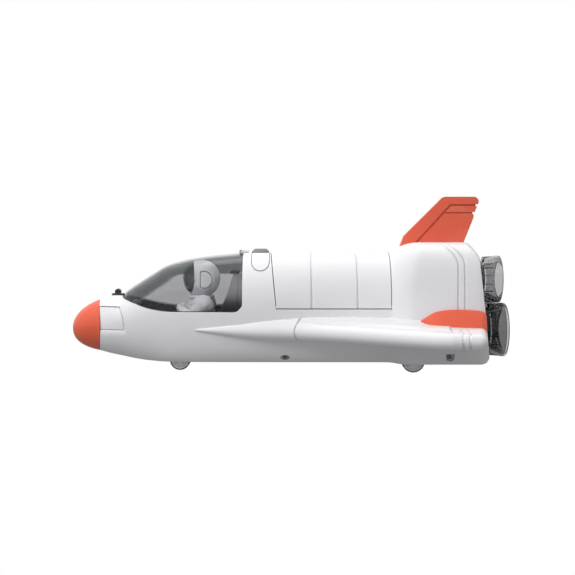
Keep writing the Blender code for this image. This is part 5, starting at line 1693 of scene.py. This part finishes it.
def make_floor():
    """A wide floor that reads as white, throws back a little light and is clear from below."""
    bm = bent_grid(lambda u, v: Vector(((u - 0.5) * 12, (v - 0.5) * 12, -0.0002)), 4, 4)
    floor = raw("studio_floor", bm)
    floor.data.flip_normals()
    made, graph, shader, output = start_material("studio paper")
    shader.inputs["Base Color"].default_value = (0.08, 0.08, 0.08, 1)
    shader.inputs["Emission Color"].default_value = (1, 1, 1, 1)
    shader.inputs["Emission Strength"].default_value = 0.26
    shader.inputs["Roughness"].default_value = 0.9
    shader.inputs["Specular IOR Level"].default_value = 0.0
    paper = graph.noise(graph.object_space(), 900.0, 3.0)
    bumped = graph.node("ShaderNodeBump", Strength=0.2, Distance=0.00005, Height=paper)
    graph.tree.links.new(bumped.outputs[0], shader.inputs["Normal"])
    white = graph.node("ShaderNodeEmission", Color=(1, 1, 1, 1), Strength=1.0)
    chooser = graph.node("ShaderNodeMixShader")
    graph.tree.links.new(seen_directly(graph), chooser.inputs[0])
    graph.tree.links.new(shader.outputs[0], chooser.inputs[1])
    graph.tree.links.new(white.outputs[0], chooser.inputs[2])
    one_way = graph.node("ShaderNodeMixShader", i0=graph.node("ShaderNodeNewGeometry").outputs["Backfacing"])
    graph.tree.links.new(chooser.outputs[0], one_way.inputs[1])
    graph.tree.links.new(graph.node("ShaderNodeBsdfTransparent").outputs[0], one_way.inputs[2])
    graph.tree.links.new(one_way.outputs[0], output.inputs["Surface"])
    floor.data.materials.append(made)


def make_world(strength):
    world = bpy.data.worlds.new("studio white")
    bpy.context.scene.world = world
    world.use_nodes = True
    world.node_tree.nodes.clear()
    graph = Graph(world.node_tree)
    mirrored = graph.node("ShaderNodeLightPath").outputs["Is Glossy Ray"]
    seen = graph.math("MAXIMUM", seen_directly(graph), mirrored)
    level = graph.math("ADD", graph.math("MULTIPLY", seen, 1.0 - strength), strength)
    back = graph.node("ShaderNodeBackground", Color=(1, 1, 1, 1), Strength=level)
    output = graph.node("ShaderNodeOutputWorld")
    graph.tree.links.new(back.outputs[0], output.inputs["Surface"])


def add_softbox(name, place, aim, size, power):
    light = bpy.data.lights.new(name, "AREA")
    light.shape = "RECTANGLE"
    light.size, light.size_y = size
    light.energy = power
    lamp = bpy.data.objects.new(name, light)
    bpy.context.scene.collection.objects.link(lamp)
    lamp.location = place
    lamp.visible_glossy = False
    lamp.rotation_euler = (Vector(aim) - Vector(place)).to_track_quat("-Z", "Y").to_euler()


class SHUTTLE_OT_studio(bpy.types.Operator):
    """Sets the plain floor, the soft light and the camera"""

    bl_idname = "shuttle.studio"
    bl_label = "Studio"

    def execute(self, context):
        studio = context.scene.shuttle_studio
        make_floor()
        make_world(studio.sky)
        add_softbox("front softbox", (-0.56, -0.66, 1.09), (0, 0, 0.06), (1.2, 0.9), studio.key)
        add_softbox("overhead softbox", (0.1, 0.5, 1.18), (0, 0, 0.06), (0.9, 0.5), studio.back)
        camera = bpy.data.objects.new("camera", bpy.data.cameras.new("camera"))
        context.scene.collection.objects.link(camera)
        camera.data.lens = studio.lens
        camera.data.sensor_width = 36.0
        aim = Vector((1.2 * MM, 0, 63.9 * MM))
        back = Vector((0, -math.cos(studio.elevation), math.sin(studio.elevation)))
        camera.location = aim + back * studio.distance
        camera.rotation_euler = (-back).to_track_quat("-Z", "Y").to_euler()
        camera.data.clip_start = 0.01
        context.scene.camera = camera
        context.scene.view_settings.view_transform = "Standard"
        context.scene.view_settings.look = "None"
        context.scene.cycles.transparent_max_bounces = 16
        context.scene.cycles.transmission_bounces = 12
        context.scene.cycles.max_bounces = 16
        return {"FINISHED"}


OPERATORS = (SHUTTLE_OT_studio, SHUTTLE_OT_hull, SHUTTLE_OT_canopy, SHUTTLE_OT_cockpit, SHUTTLE_OT_astronaut,
             SHUTTLE_OT_cargo_bay, SHUTTLE_OT_wings, SHUTTLE_OT_tail_fin, SHUTTLE_OT_engines, SHUTTLE_OT_belly,
             SHUTTLE_OT_wheels)


class SHUTTLE_PT_panel(bpy.types.Panel):
    """Lists the steps that build the toy"""

    bl_idname = "SHUTTLE_PT_panel"
    bl_label = "Toy Shuttle"
    bl_space_type = "VIEW_3D"
    bl_region_type = "UI"
    bl_category = "Toy Shuttle"

    def draw(self, context):
        for operator in OPERATORS:
            self.layout.operator(operator.bl_idname)
        for name, group in SETTINGS:
            values = getattr(context.scene, name)
            for key in group.__annotations__:
                self.layout.prop(values, key)


def register():
    for kind in (*[group for _, group in SETTINGS], *OPERATORS, SHUTTLE_PT_panel):
        bpy.utils.register_class(kind)
    for name, group in SETTINGS:
        setattr(bpy.types.Scene, name, PointerProperty(type=group))


def unregister():
    for name, _ in SETTINGS:
        delattr(bpy.types.Scene, name)
    for kind in (SHUTTLE_PT_panel, *OPERATORS[::-1], *[group for _, group in SETTINGS[::-1]]):
        bpy.utils.unregister_class(kind)


def main():
    register()
    for operator in OPERATORS:
        space, _, step = operator.bl_idname.partition(".")
        getattr(getattr(bpy.ops, space), step)()


if __name__ == "__main__":
    main()
